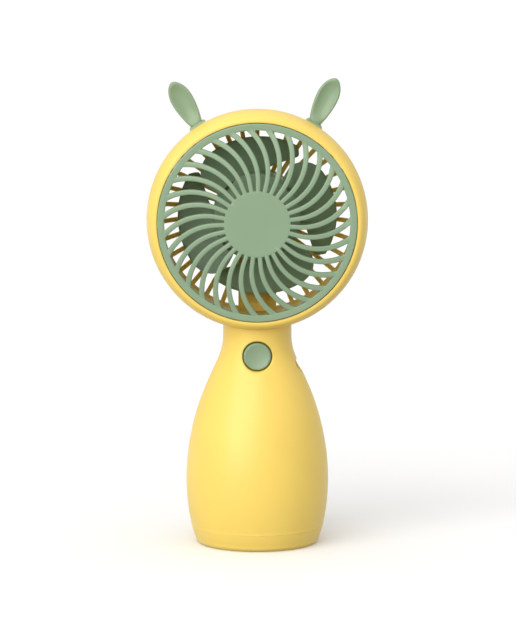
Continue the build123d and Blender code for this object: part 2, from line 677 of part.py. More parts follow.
def impeller():
    """Hub cup with four broad blades, pressed on the shaft."""
    cup = disc(HUB_R, HUB_FRONT, HUB_BACK)
    cup = fillet(cup.edges().sort_by(Axis.Y)[0], HUB_EDGE)
    cup -= disc(HUB_R - HUB_WALL, HUB_FRONT + HUB_FACE_T, HUB_BACK + 1)
    boss = disc(BOSS_R, HUB_FRONT + HUB_FACE_T / 2, BOSS_BACK)
    blade = blade_sheet() & between(blade_outline(), -12, 20)
    wheel = cup + boss
    for i in range(BLADES):
        wheel += blade.rotate(FAN_AXIS, i * 360 / BLADES)
    return wheel - disc(SHAFT_R, HUB_FRONT - 1, HUB_BACK + 1)


# ---------------------------------------------------------------- motor

def motor_can():
    can = disc(MOTOR_R, MOTOR_FRONT, MOTOR_BACK) - disc(MOTOR_R - CAN_WALL, MOTOR_FRONT + CAN_WALL, 30)
    nose = disc(BUSH_R + NOSE, MOTOR_FRONT - NOSE_FRONT, MOTOR_FRONT + BUSH_DEPTH)
    return can + nose - disc(BUSH_R, MOTOR_FRONT - 2 * NOSE_FRONT, MOTOR_FRONT + 2 * BUSH_DEPTH)


def bush(front, back):
    return disc(BUSH_R, front, back, SHAFT_R + RUNNING_GAP)


def motor_end_cap():
    plate = disc(MOTOR_R, MOTOR_BACK, END_CAP_BACK)
    plate += disc(MOTOR_R - CAN_WALL - 0.05, MOTOR_BACK - 1.0, MOTOR_BACK)
    slots = Sketch() + [Pos(x, -MOTOR_R) * Rectangle(2.2, 3) for x in (-TERMINAL_X, TERMINAL_X)]
    plate -= between(slots, MOTOR_BACK - 0.2, MOTOR_BACK + 0.7)
    return plate - disc(BUSH_R, DRUM_Y, BEYOND)


def motor_magnets():
    ring = Circle(MAGNET_R[1]) - Circle(MAGNET_R[0])
    gaps = Rectangle(MAGNET_GAP, BEYOND)
    return between(ring - gaps, MOTOR_FRONT + 1.4, MOTOR_BACK - 2.0)


def armature_core():
    """Three-pole laminated core."""
    upper = Pos(0, CORE_R) * Rectangle(POLE_WIDTH, 2 * CORE_R)
    pole_face = (Circle(CORE_R) - Circle(CORE_R - POLE_FACE_T)) & upper
    tooth = pole_face + Pos(0, CORE_R / 2) * Rectangle(TOOTH_WIDTH, CORE_R - 0.6)
    core = Circle(CORE_HUB_R)
    for i in range(POLES):
        core += Rot(0, 0, i * 360 / POLES) * tooth
    return between(core - Circle(SHAFT_R), *CORE_Y)


def armature_windings():
    """One coil round each pole."""
    coil = Pos(0, COIL_R) * RectangleRounded(*COIL, 0.8)
    tooth = Pos(0, COIL_R) * Rectangle(TOOTH_WIDTH, COIL[1] + 1)
    solid = between(coil, CORE_Y[0] - COIL_OVERHANG, CORE_Y[1] + COIL_OVERHANG) - between(tooth, *CORE_Y)
    coils = Part()
    for i in range(POLES):
        coils += solid.rotate(FAN_AXIS, i * 360 / POLES)
    return coils


def commutator():
    """Three copper segments on a sleeve."""
    slot = Pos(0, COMMUTATOR_R) * Rectangle(COMMUTATOR_SLOT, 1.2)
    slots = Sketch() + [Rot(0, 0, (i + 0.5) * 360 / POLES) * slot for i in range(POLES)]
    body = Circle(COMMUTATOR_R) - Circle(SHAFT_R) - slots
    return between(body, *COMMUTATOR_Y)


def motor_brushes():
    """Two springy leaves that touch the commutator."""
    leaves = Part()
    for side in (-1, 1):
        x = side * (COMMUTATOR_R + BRUSH[0] / 2 + 0.05)
        leaf = Pos(x, 0) * Rectangle(*BRUSH)
        arm = Pos(x + side * 1.3, BRUSH[0] / 2 - BRUSH[1] / 2) * Rectangle(3.0, BRUSH[0])
        leaves += between(leaf + arm, COMMUTATOR_Y[0] + 0.2, COMMUTATOR_Y[1] + 0.2)
    return leaves


def motor_terminals():
    tab = Pos(0, -MOTOR_R - 0.4) * Rectangle(1.8, 3.4)
    tabs = Sketch() + [Pos(x, 0) * tab for x in (-TERMINAL_X, TERMINAL_X)]
    return between(tabs, MOTOR_BACK + 0.02, MOTOR_BACK + 0.5) - disc(MOTOR_R - 1.3, 0, BEYOND)


def motor_bracket():
    """Cup over the motor with three lugs screwed to the rear hub."""
    cup = disc(BRACKET_R, BRACKET_FRONT, BRACKET_FLANGE_Y[1])
    lugs = Sketch() + [Pos(x, z) * Circle(BRACKET_LUG_R) for x, z in bracket_spots()]
    holes = Sketch() + [Pos(x, z) * Circle(BRACKET_SCREW[0] + SHANK_GAP) for x, z in bracket_spots()]
    bracket = cup + between(lugs, *BRACKET_FLANGE_Y) - between(holes, 0, BEYOND)
    nose_hole = disc(BUSH_R + NOSE + 1.0, 0, MOTOR_FRONT + 1)
    return bracket - disc(MOTOR_R + 0.05, MOTOR_FRONT, BEYOND) - nose_hole


def screw(length, radius, head_r, head_t):
    """Pan head screw pointing along -Y from its seat at the origin, with a cross recess."""
    head_solid = Rot(90, 0, 0) * Pos(0, 0, -head_t / 2) * Cylinder(head_r, head_t)
    head_solid = fillet(head_solid.edges().sort_by(Axis.Y)[-1], head_t * 0.4)
    shank = Rot(90, 0, 0) * Pos(0, 0, length / 2) * Cylinder(radius, length)
    slot = Box(head_r * 1.1, head_t, head_r * 0.28) + Box(head_r * 0.28, head_t, head_r * 1.1)
    return head_solid + shank - Pos(0, head_t, 0) * slot


def bracket_screws():
    one = Rot(0, 0, 180) * screw(BRACKET_SCREW[1], BRACKET_SCREW[0] - THREAD_GAP, 1.5, 1.0)
    return Compound(children=[Pos(x, BRACKET_FLANGE_Y[0], HEAD_Z + z) * one for x, z in bracket_spots()])


def shell_screws():
    one = screw(SCREW_LENGTH, SCREW_R - THREAD_GAP, SCREW_HEAD_R, SCREW_HEAD_T)
    return Compound(children=[Pos(x, SCREW_SEAT_Y, z) * one for x, z in screw_places()])


def base_screws():
    one = Rot(-90, 0, 0) * screw(BASE_SCREW_LENGTH, SCREW_R - THREAD_GAP, SCREW_HEAD_R, SCREW_HEAD_T)
    return Compound(children=[Pos(0, y, BASE_SCREW_SEAT) * one for y in (-BASE_SCREW_Y, BASE_SCREW_Y)])


def wire_cover():
    """Strip over the wire channel, with a plate in front of the foot of the leads."""
    layer = dome_layer(DOME_WALL + CHANNEL_DEPTH + COVER_THICKNESS, DOME_WALL + CHANNEL_DEPTH + 0.02)
    half = CHANNEL_WIDTH / 2
    near, far = COVER_RADII
    strip = layer & box_between((-half, 0, HEAD_Z - far), (half, BEYOND, HEAD_Z - near))
    foot = HEAD_Z - far
    plate = box_between((-half, COVER_LIP_FRONT, HEAD_Z - COVER_LIP_RADIUS), (half, DRUM_Y, foot + 1.2))
    hook = box_between((-half, COVER_LIP_FRONT, foot - 0.1), (half, DRUM_Y + 0.6, foot + 0.8))
    return strip + plate + (hook - dome_layer(DOME_WALL + CHANNEL_DEPTH + 0.02, 0))


# ---------------------------------------------------------------- button, switch, boards

def button_cap():
    """Dished round cap with a flange behind the casing and a stem to the switch."""
    cap = disc(BUTTON_R, BUTTON_FACE_Y, BUTTON_BACK_Y, z=BUTTON_Z)
    cap = fillet(cap.edges().sort_by(Axis.Y)[0], BUTTON_EDGE)
    cap += disc(BUTTON_FLANGE_R, BUTTON_FLANGE_Y, BUTTON_BACK_Y, z=BUTTON_Z)
    cap -= disc(BUTTON_R - BUTTON_SKIN, BUTTON_FACE_Y + BUTTON_SKIN + 0.4, 0, z=BUTTON_Z)
    cap -= Pos(0, BUTTON_FACE_Y + BUTTON_DISH_DEPTH - BUTTON_DISH_R, BUTTON_Z) * Sphere(BUTTON_DISH_R)
    return cap + disc(BUTTON_STEM_R, BUTTON_FACE_Y + BUTTON_SKIN, PLUNGER_TIP_Y - 0.05, z=BUTTON_Z)


def switch_body():
    front = SWITCH_BOARD_FRONT - SWITCH_BODY_DEPTH
    block = between(RectangleRounded(SWITCH_SIDE, SWITCH_SIDE, 0.5), front, SWITCH_BOARD_FRONT, BUTTON_Z)
    return block - disc(PLUNGER_R + 0.1, front - 1, SWITCH_BOARD_FRONT - 1.2, z=BUTTON_Z)


def switch_plate():
    front = SWITCH_BOARD_FRONT - SWITCH_BODY_DEPTH
    sketch = Rectangle(SWITCH_SIDE, SWITCH_SIDE) - Circle(PLUNGER_R + 0.15)
    return between(sketch, front - PLATE_T, front, BUTTON_Z)


def switch_plunger():
    return disc(PLUNGER_R, PLUNGER_TIP_Y, SWITCH_BOARD_FRONT - 2.0, z=BUTTON_Z)


def switch_board():
    top = SWITCH_BOARD_TOP
    low = MAIN_BOARD_Z + BOARD_T
    sketch = Pos(0, (top + low) / 2) * RectangleRounded(SWITCH_BOARD_WIDTH, top - low, 1.0)
    return between(sketch, SWITCH_BOARD_FRONT, SWITCH_BOARD_FRONT + BOARD_T, z=0)


def main_board():
    sketch = Circle(MAIN_BOARD_R) & Rectangle(*MAIN_BOARD_TRIM)
    for x in PIN_PLACES:
        sketch -= Pos(x, PIN_Y) * Circle(PIN_HALF + 0.15)
    return upright(sketch, MAIN_BOARD_Z, MAIN_BOARD_Z + BOARD_T)


def board_header():
    """Angle pins that join the two boards."""
    pins = []
    top = MAIN_BOARD_Z + 4.0
    for x in PIN_PLACES:
        low_x, high_x = x - PIN_HALF, x + PIN_HALF
        leg = box_between((low_x, PIN_Y - PIN_HALF, MAIN_BOARD_Z - 0.8), (high_x, PIN_Y + PIN_HALF, top))
        arm = box_between((low_x, SWITCH_BOARD_FRONT + BOARD_T, top - 2 * PIN_HALF), (high_x, PIN_Y, top))
        pins.append(leg + arm)
    return Compound(children=pins)


def chip(x, y, size):
    """Part on top of the main board."""
    bottom = MAIN_BOARD_Z + BOARD_T
    low = (x - size[0] / 2, y - size[1] / 2, bottom)
    return box_between(low, (low[0] + size[0], low[1] + size[1], bottom + size[2]))


def boost_inductor():
    x, y, radius, height = INDUCTOR
    return Pos(x, y, MAIN_BOARD_Z + BOARD_T + height / 2) * Cylinder(radius, height)


def capacitors():
    return Compound(children=[chip(x, CAPACITOR_Y, CAPACITOR) for x in CAPACITOR_X])


def resistors():
    return Compound(children=[chip(x, RESISTOR_Y, RESISTOR) for x in RESISTOR_X])


def socket_sketch(inset):
    radius = SOCKET[1] / 2 - inset - ROUND_END_FLAT
    return RectangleRounded(SOCKET[0] - 2 * inset, SOCKET[1] - 2 * inset, radius)


def socket_plane(x):
    return Plane(origin=(x, 0, PORT_Z), x_dir=(0, 1, 0), z_dir=(1, 0, 0))


def usb_shell():
    back = SOCKET_MOUTH_X - SOCKET[2]
    outer = extrude(socket_plane(back) * socket_sketch(0), SOCKET[2])
    return outer - extrude(socket_plane(back + 0.8) * socket_sketch(SOCKET_WALL), SOCKET[2])


def usb_tongue():
    back = SOCKET_MOUTH_X - SOCKET[2] + 0.8
    block = extrude(socket_plane(back) * socket_sketch(SOCKET_WALL + 0.02), 1.6)
    return block + extrude(socket_plane(back) * Rectangle(*TONGUE), SOCKET[2] - 1.8)


# ---------------------------------------------------------------- battery and leads

def battery_cell():
    cell = Pos(0, 0, CELL_BOTTOM + CELL_HEIGHT / 2) * Cylinder(CELL_R, CELL_HEIGHT)
    return fillet(cell.edges(), 0.6)


def battery_positive_cap():
    return upright(Circle(TERMINAL_R), CELL_TOP, CELL_TOP + TERMINAL_T)


def battery_tabs():
    """Nickel strips welded to the two ends of the cell."""
    half = TAB_WIDTH / 2
    top = CELL_TOP + TERMINAL_T
    upper = box_between((-half, RED_LEAD_Y - 1, top), (half, 4.0, top + TAB_T))
    lower = box_between((-half, -4.0, CELL_BOTTOM - TAB_T), (half, CELL_SIDE_LEAD + 0.6, CELL_BOTTOM))
    return Compound(children=[upper, lower])


def battery_foam():
    return upright(Circle(FOAM_R), WALL, CELL_BOTTOM - TAB_T)


def lead(points, radii, radius):
    """Insulated wire along straight runs joined by arcs."""
    path = FilletPolyline(*points, radius=radii)
    section = Plane(origin=path @ 0, z_dir=path % 0) * Circle(radius)
    return sweep(section, path=path)


def channel_point(x, radius):
    """Point on the floor of the wire channel, at a distance below the fan axis."""
    inset = DOME_WALL + LEAD_R + 0.2
    share = max(radius - REAR_HUB_R, 0) / (DRUM_R - inset - REAR_HUB_R)
    return (x, DRUM_Y + (DOME_DEPTH - inset) * math.sqrt(1 - share ** 2), HEAD_Z - radius)


def motor_lead(side):
    """Lead from the main board, up the neck and the strut, to a motor terminal."""
    x = side * LEAD_PAIR_X
    points = [(x, 6.5, MAIN_BOARD_Z + BOARD_T), (x, 6.5, 83.0), (x, 10.8, 89.5)]
    points += [channel_point(x, radius) for radius in (39.6, 37.5, 34.0, 29.0, 24.0, 18.0)]
    points.append((side * TERMINAL_X, MOTOR_BACK - LEAD_R - 0.05, HEAD_Z - MOTOR_R - 1.6))
    return lead(points, 2.0, LEAD_R)


def battery_lead_black():
    """Lead from the lower tab, up beside the cell."""
    points = [(0, CELL_SIDE_LEAD, CELL_BOTTOM), (0, CELL_SIDE_LEAD, 22.0), (0.5, CELL_SIDE_LEAD, 32.0),
              (-0.4, CELL_SIDE_LEAD, 48.0), (0, CELL_SIDE_LEAD, 62.0), (0, CELL_SIDE_LEAD, MAIN_BOARD_Z)]
    return lead(points, 8.0, LEAD_R)


def battery_lead_red():
    """Short lead from the upper tab to the underside of the main board."""
    return upright(Pos(0, RED_LEAD_Y) * Circle(LEAD_R), CELL_TOP + TERMINAL_T + TAB_T, MAIN_BOARD_Z)


def main():
    os.makedirs("parts", exist_ok=True)
    blank = casing_blank()
    save("front_shell", front_shell(blank))
    save("rear_shell", rear_shell(blank))
    save("bottom_cap", bottom_cap(blank))
    save("front_grille", front_grille())
    save("ear_left", ear(-1))
    save("ear_right", ear(1))
    save("impeller", impeller())
    save("button_cap", button_cap())
    save("switch_body", switch_body())
    save("switch_plate", switch_plate())
    save("switch_plunger", switch_plunger())
    save("switch_board", switch_board())
    save("main_board", main_board())
    save("board_header", board_header())
    save("charge_chip", chip(*CHARGE_CHIP))
    save("motor_driver", chip(*DRIVER_CHIP))
    save("boost_inductor", boost_inductor())
    save("capacitors", capacitors())
    save("resistors", resistors())
    save("usb_shell", usb_shell())
    save("usb_tongue", usb_tongue())
    save("battery_cell", battery_cell())
    save("battery_positive_cap", battery_positive_cap())
    save("battery_tabs", battery_tabs())
    save("battery_foam", battery_foam())
    save("battery_lead_red", battery_lead_red())
    save("battery_lead_black", battery_lead_black())
    save("motor_can", motor_can())
    save("motor_end_cap", motor_end_cap())
    save("motor_magnets", motor_magnets())
    save("motor_brushes", motor_brushes())
    save("motor_terminals", motor_terminals())
    save("front_bush", bush(MOTOR_FRONT - NOSE_FRONT, MOTOR_FRONT + BUSH_DEPTH))
    save("rear_bush", bush(MOTOR_BACK - REAR_BUSH[0], END_CAP_BACK - REAR_BUSH[1]))
    save("motor_shaft", disc(SHAFT_R, SHAFT_FRONT, SHAFT_BACK))
    save("armature_core", armature_core())
    save("armature_windings", armature_windings())
    save("commutator", commutator())
    save("motor_bracket", motor_bracket())
    save("motor_bracket_screws", bracket_screws())
    save("motor_lead_red", motor_lead(-1))
    save("motor_lead_black", motor_lead(1))
    save("wire_cover", wire_cover())
    save("shell_screws", shell_screws())
    save("base_screws", base_screws())


main()
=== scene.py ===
import bpy
import bmesh
import json
import math
import numpy as np
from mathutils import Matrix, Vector


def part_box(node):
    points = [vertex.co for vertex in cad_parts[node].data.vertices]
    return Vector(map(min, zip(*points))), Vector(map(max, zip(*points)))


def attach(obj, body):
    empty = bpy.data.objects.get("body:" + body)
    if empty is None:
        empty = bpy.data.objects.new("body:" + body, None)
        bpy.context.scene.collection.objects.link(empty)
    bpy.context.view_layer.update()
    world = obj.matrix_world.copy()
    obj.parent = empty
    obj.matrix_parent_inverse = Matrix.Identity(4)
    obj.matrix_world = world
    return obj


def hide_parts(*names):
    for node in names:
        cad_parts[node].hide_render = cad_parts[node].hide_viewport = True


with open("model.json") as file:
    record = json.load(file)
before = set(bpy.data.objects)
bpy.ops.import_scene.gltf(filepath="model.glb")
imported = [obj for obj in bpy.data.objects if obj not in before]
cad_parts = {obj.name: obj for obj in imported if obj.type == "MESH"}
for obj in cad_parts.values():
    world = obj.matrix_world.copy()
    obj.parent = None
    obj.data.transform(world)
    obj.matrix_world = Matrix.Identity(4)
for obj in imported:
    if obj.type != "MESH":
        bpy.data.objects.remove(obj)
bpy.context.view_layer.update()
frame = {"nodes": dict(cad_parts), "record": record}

MM = 0.001

# ---------------------------------------------------------------- places, all from the frame
GRILLE_LOW, GRILLE_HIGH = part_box("front_grille")
FRONT_LOW, FRONT_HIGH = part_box("front_shell")
REAR_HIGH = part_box("rear_shell")[1]
CAP_LOW, CAP_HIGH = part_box("bottom_cap")
BUTTON_LOW, BUTTON_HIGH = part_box("button_cap")
SOCKET_LOW, SOCKET_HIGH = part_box("usb_shell")
PLATE_LOW, PLATE_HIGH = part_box("switch_plate")

HEAD_Z = (GRILLE_LOW.z + GRILLE_HIGH.z) / 2
HEAD_R = min(FRONT_HIGH.x, -FRONT_LOW.x)
BASE_Z = CAP_LOW.z
GRIP_R = min(-FRONT_LOW.y, REAR_HIGH.y)
SEAM_Y = 0.0
CAP_TOP = FRONT_LOW.z
DISC_Y = GRILLE_LOW.y
BUTTON_Z = (PLATE_LOW.z + PLATE_HIGH.z) / 2
PORT_Z = (SOCKET_LOW.z + SOCKET_HIGH.z) / 2

# ---------------------------------------------------------------- sizes of the visible shapes
RIM_Y = -20.5 * MM
REAR_Y = 19.8 * MM
BORE_R = 41.7 * MM
WIDEST_Y = -9.5 * MM
DRUM_Y = 9.5 * MM
DRUM_R = 43.5 * MM
DOME_WALL = 2.0 * MM
WALL = 2.2 * MM
NECK_R = 14.4 * MM
GRIP_OUTLINE = [(26.1, 2.2), (27.7, 7.3), (29.9, 25.5), (28.5, 43.4),
                (24.7, 58.7), (18.4, 74.1), (15.3, 81.7), (14.4, 88.0)]
SEAM_BEVEL = 0.13 * MM
SEAM_GAP = 0.005 * MM

GRILLE_BARS = 31
DISC_R = 13.7 * MM
RING_INNER = 38.6 * MM
RING_OUTER = 41.45 * MM
GRILLE_RIM_Y = -20.9 * MM
GRILLE_DEPTH = 2.8 * MM
BAR_ROOT = 1.95 * MM
BAR_TIP = 2.4 * MM
BEND_START = 17.2 * MM
BEND_R = 22.7 * MM
BAR_PHASE = math.radians(-1.3)
BAR_SINK = 0.04 * MM

REAR_BARS = 34
REAR_BAR_WIDTH = 1.9 * MM
REAR_HUB_R = 18.5 * MM
WINDOW_R = 40.4 * MM
STRUT_HALF = 8.0 * MM

HOLE_R = 6.2 * MM
LIP_WIDTH = 0.75 * MM
LIP_BACK = -11.1 * MM
BUTTON_R = 5.7 * MM
BUTTON_DISH = 0.95 * MM
BUTTON_FLANGE_R = 6.7 * MM
BUTTON_COLLAR_R = 4.5 * MM
BUTTON_STEM_R = 1.6 * MM

PORT_FLOOR_X = 15.6 * MM
PORT_HOLE = (4.75 * MM, 1.85 * MM)     # half width and half height of the hole
PORT_MOUTH = (6.2 * MM, 2.7 * MM)      # the same for the recess round it

SCREW_BORE = 1.05 * MM
SCREW_SEAT = 2.1 * MM
SCREW_TUBE = 2.6 * MM
SCREW_LEDGE = 8.0 * MM
BASE_BOSS_R = 3.2 * MM
BASE_BORE = 1.1 * MM
BASE_LEDGE = 4.0 * MM
BEYOND = 40 * MM

HUB_R = 18.6 * MM
BLADE_TIP_R = 33.4 * MM
BLADE_ROOT_R = 18.37 * MM
BLADE_T = 1.3 * MM
BLADE_MIDDLE = math.radians(8.0)
BLADE_DEPTH = 3.6 * MM
BLADE_RISE = 9.307 * MM      # depth gained for each radian round the axis
# edges of a blade as (radius in mm, degrees from its middle)
BLADE_LEAD = [(18.37, 57), (21.71, 58), (25.05, 58), (27.55, 56),
              (30.06, 52), (31.73, 47.5), (32.98, 42), (33.40, 36)]
BLADE_TRAIL = [(18.37, -12), (20.88, -14), (23.21, -23), (25.88, -29),
               (28.39, -34), (29.89, -36), (31.73, -33.5), (33.40, -30.5)]

# place on the ring and lean of each ear, left (-1) and right (1)
EAR_ANGLE = {-1: math.radians(33.1), 1: math.radians(31.2)}
EAR_LEAN = {-1: math.radians(30.6), 1: math.radians(26.2)}
EAR_LENGTH = 21.3 * MM
EAR_HALF = 4.65 * MM
EAR_FOOT = 2.3 * MM
EAR_T = 3.4 * MM
EAR_DISH = 2.1 * MM


# ---------------------------------------------------------------- mesh helpers

def finish_mesh(name, verts, faces, body, material, sharp=40.0, merge=1e-6):
    """One closed, smooth-shaded mesh object that rides on a CAD body."""
    mesh = bpy.data.meshes.new(name)
    mesh.from_pydata([tuple(v) for v in verts], [], faces)
    work = bmesh.new()
    work.from_mesh(mesh)
    bmesh.ops.remove_doubles(work, verts=work.verts, dist=merge)
    bmesh.ops.recalc_face_normals(work, faces=work.faces)
    set_sharp(work, sharp)
    work.to_mesh(mesh)
    work.free()
    piece = bpy.data.objects.new(name, mesh)
    bpy.context.scene.collection.objects.link(piece)
    mesh.materials.append(material)
    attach(piece, body)
    return piece


def set_sharp(work, degrees):
    """Smooth faces, with hard edges only where the surface really turns."""
    limit = math.radians(degrees)
    for face in work.faces:
        face.smooth = True
    for edge in work.edges:
        edge.smooth = len(edge.link_faces) != 2 or edge.calc_face_angle(0.0) < limit


def grid_faces(rows, columns, base=0, wrap_rows=False, wrap_columns=False):
    """Quads over a rows x columns block of points."""
    faces = []
    for i in range(rows if wrap_rows else rows - 1):
        for j in range(columns if wrap_columns else columns - 1):
            a = base + i * columns + j
            b = base + i * columns + (j + 1) % columns
            c = base + ((i + 1) % rows) * columns + (j + 1) % columns
            d = base + ((i + 1) % rows) * columns + j
            faces.append((a, b, c, d))
    return faces


class Builder:
    """Collects several closed shells into one piece."""

    def __init__(self):
        self.verts = []
        self.faces = []

    def add(self, rows, wrap_rows=False, wrap_columns=False, caps=False):
        """Adds a block of points as quads, with flat end caps if asked."""
        base = len(self.verts)
        columns = len(rows[0])
        for row in rows:
            self.verts.extend(row)
        self.faces.extend(grid_faces(len(rows), columns, base, wrap_rows, wrap_columns))
        if caps:
            self.faces.append(tuple(base + j for j in range(columns)))
            last = base + (len(rows) - 1) * columns
            self.faces.append(tuple(last + j for j in reversed(range(columns))))


def rounded(points, radii, steps=5):
    """Closed outline with each corner replaced by an arc of the given radius."""
    result = []
    count = len(points)
    for i, corner in enumerate(points):
        radius = radii[i] if isinstance(radii, (list, tuple)) else radii
        here = np.array(corner, float)
        if radius <= 0:
            result.append(tuple(here))
            continue
        back = np.array(points[i - 1], float) - here
        ahead = np.array(points[(i + 1) % count], float) - here
        back /= np.linalg.norm(back)
        ahead /= np.linalg.norm(ahead)
        half = math.acos(max(-1.0, min(1.0, float(back @ ahead)))) / 2
        reach = radius / math.tan(half)
        start = here + back * reach
        end = here + ahead * reach
        for k in range(steps + 1):
            t = k / steps
            result.append(tuple((1 - t) ** 2 * start + 2 * t * (1 - t) * here + t ** 2 * end))
    return result


def bezier(p0, p1, p2, p3, steps):
    """Points along a cubic curve."""
    ts = np.linspace(0, 1, steps)[:, None]
    a, b, c, d = (np.array(p, float) for p in (p0, p1, p2, p3))
    rest = 1 - ts
    curve = rest ** 3 * a + 3 * rest ** 2 * ts * b + 3 * rest * ts ** 2 * c + ts ** 3 * d
    return [tuple(p) for p in curve]


def turn_fan(profile, segments=192, start=0.0, sweep=2 * math.pi, centre=(0.0, None)):
    """Rows of points: a (depth, radius) profile turned about a line along Y."""
    x0 = centre[0]
    z0 = HEAD_Z if centre[1] is None else centre[1]
    full = abs(sweep - 2 * math.pi) < 1e-9
    count = segments if full else segments + 1
    rows = []
    for k in range(count):
        angle = start + sweep * k / segments
        ca, sa = math.cos(angle), math.sin(angle)
        rows.append([(x0 - r * sa, y, z0 + r * ca) for y, r in profile])
    return rows


def lathe_fan(builder, profile, segments=192, centre=(0.0, None)):
    """Closed profile in (depth, radius) turned fully about a line along Y."""
    builder.add(turn_fan(profile, segments, centre=centre), wrap_rows=True, wrap_columns=True)


def lathe_up(builder, profile, segments=192, centre=(0.0, 0.0)):
    """Closed profile in (radius, height) turned fully about a vertical line."""
    rows = []
    for k in range(segments):
        angle = 2 * math.pi * k / segments
        ca, sa = math.cos(angle), math.sin(angle)
        rows.append([(centre[0] + r * ca, centre[1] + r * sa, z) for r, z in profile])
    builder.add(rows, wrap_rows=True, wrap_columns=True)


def smooth_curve(points, start_slope, end_slope, steps):
    """Points on a smooth cubic spline through the given ones, with set end directions."""
    pts = np.array(points, float)
    gaps = np.linalg.norm(np.diff(pts, axis=0), axis=1)
    knots = np.concatenate([[0], np.cumsum(gaps)])
    count = len(pts)
    matrix = np.zeros((count, count))
    right = np.zeros((count, 2))
    matrix[0, 0] = 1
    matrix[-1, -1] = 1
    right[0] = np.array(start_slope, float) / np.linalg.norm(start_slope)
    right[-1] = np.array(end_slope, float) / np.linalg.norm(end_slope)
    for i in range(1, count - 1):
        matrix[i, i - 1] = gaps[i]
        matrix[i, i] = 2 * (gaps[i - 1] + gaps[i])
        matrix[i, i + 1] = gaps[i - 1]
        before = (pts[i] - pts[i - 1]) / gaps[i - 1]
        after = (pts[i + 1] - pts[i]) / gaps[i]
        right[i] = 3 * (gaps[i] * before + gaps[i - 1] * after)
    slopes = np.linalg.solve(matrix, right)
    result = []
    for u in np.linspace(0, knots[-1], steps):
        i = min(int(np.searchsorted(knots, u, side="right")) - 1, count - 2)
        t = (u - knots[i]) / gaps[i]
        near = (2 * t ** 3 - 3 * t ** 2 + 1) * pts[i] + (t ** 3 - 2 * t ** 2 + t) * gaps[i] * slopes[i]
        far = (3 * t ** 2 - 2 * t ** 3) * pts[i + 1] + (t ** 3 - t ** 2) * gaps[i] * slopes[i + 1]
        result.append(tuple(near + far))
    return result


def cut(piece, *cutters):
    """Cuts the other objects out of a piece and drops them."""
    for cutter in cutters:
        step = piece.modifiers.new("cut", "BOOLEAN")
        step.operation = "DIFFERENCE"
        step.solver = "EXACT"
        step.object = cutter
    bake_modifiers(piece)
    for cutter in cutters:
        bpy.data.objects.remove(cutter)


def bake_modifiers(piece, sharp=32.0):
    """Turns the modifiers of a piece into its mesh."""
    bpy.context.view_layer.update()
    solid = piece.evaluated_get(bpy.context.evaluated_depsgraph_get())
    mesh = bpy.data.meshes.new_from_object(solid)
    piece.modifiers.clear()
    old = piece.data
    piece.data = mesh
    bpy.data.meshes.remove(old)
    work = bmesh.new()
    work.from_mesh(mesh)
    bmesh.ops.dissolve_degenerate(work, edges=work.edges, dist=1e-6)
    set_sharp(work, sharp)
    work.to_mesh(mesh)
    work.free()


def loose_solid(name, builder):
    """A plain helper solid, used only to cut."""
    mesh = bpy.data.meshes.new(name)
    mesh.from_pydata([tuple(v) for v in builder.verts], [], builder.faces)
    work = bmesh.new()
    work.from_mesh(mesh)
    bmesh.ops.remove_doubles(work, verts=work.verts, dist=1e-6)
    bmesh.ops.recalc_face_normals(work, faces=work.faces)
    work.to_mesh(mesh)
    work.free()
    solid = bpy.data.objects.new(name, mesh)
    bpy.context.scene.collection.objects.link(solid)
    return solid


# ---------------------------------------------------------------- materials

def nodes_of(name):
    material = bpy.data.materials.new(name)
    material.use_nodes = True
    return material, material.node_tree.nodes, material.node_tree.links


def noise(nodes, links, source, scale, detail=2.0):
    texture = nodes.new("ShaderNodeTexNoise")
    texture.inputs["Scale"].default_value = scale
    texture.inputs["Detail"].default_value = detail
    links.new(source, texture.inputs["Vector"])
    return texture.outputs["Fac"]


def spread(nodes, links, source, low, high, from_low=0.3, from_high=0.7):
    """Maps a noise value on to a range."""
    ramp = nodes.new("ShaderNodeMapRange")
    ramp.inputs["From Min"].default_value = from_low
    ramp.inputs["From Max"].default_value = from_high
    ramp.inputs["To Min"].default_value = low
    ramp.inputs["To Max"].default_value = high
    links.new(source, ramp.inputs["Value"])
    return ramp.outputs["Result"]


def blend_colours(nodes, links, factor, first, second):
    mix = nodes.new("ShaderNodeMix")
    mix.data_type = "RGBA"
    links.new(factor, mix.inputs["Factor"])
    for socket, value in ((mix.inputs[6], first), (mix.inputs[7], second)):
        if isinstance(value, tuple):
            socket.default_value = value
        else:
            links.new(value, socket)
    return mix.outputs[2]


def shade(colour, factor):
    return tuple(min(1.0, c * factor) for c in colour) + (1.0,)


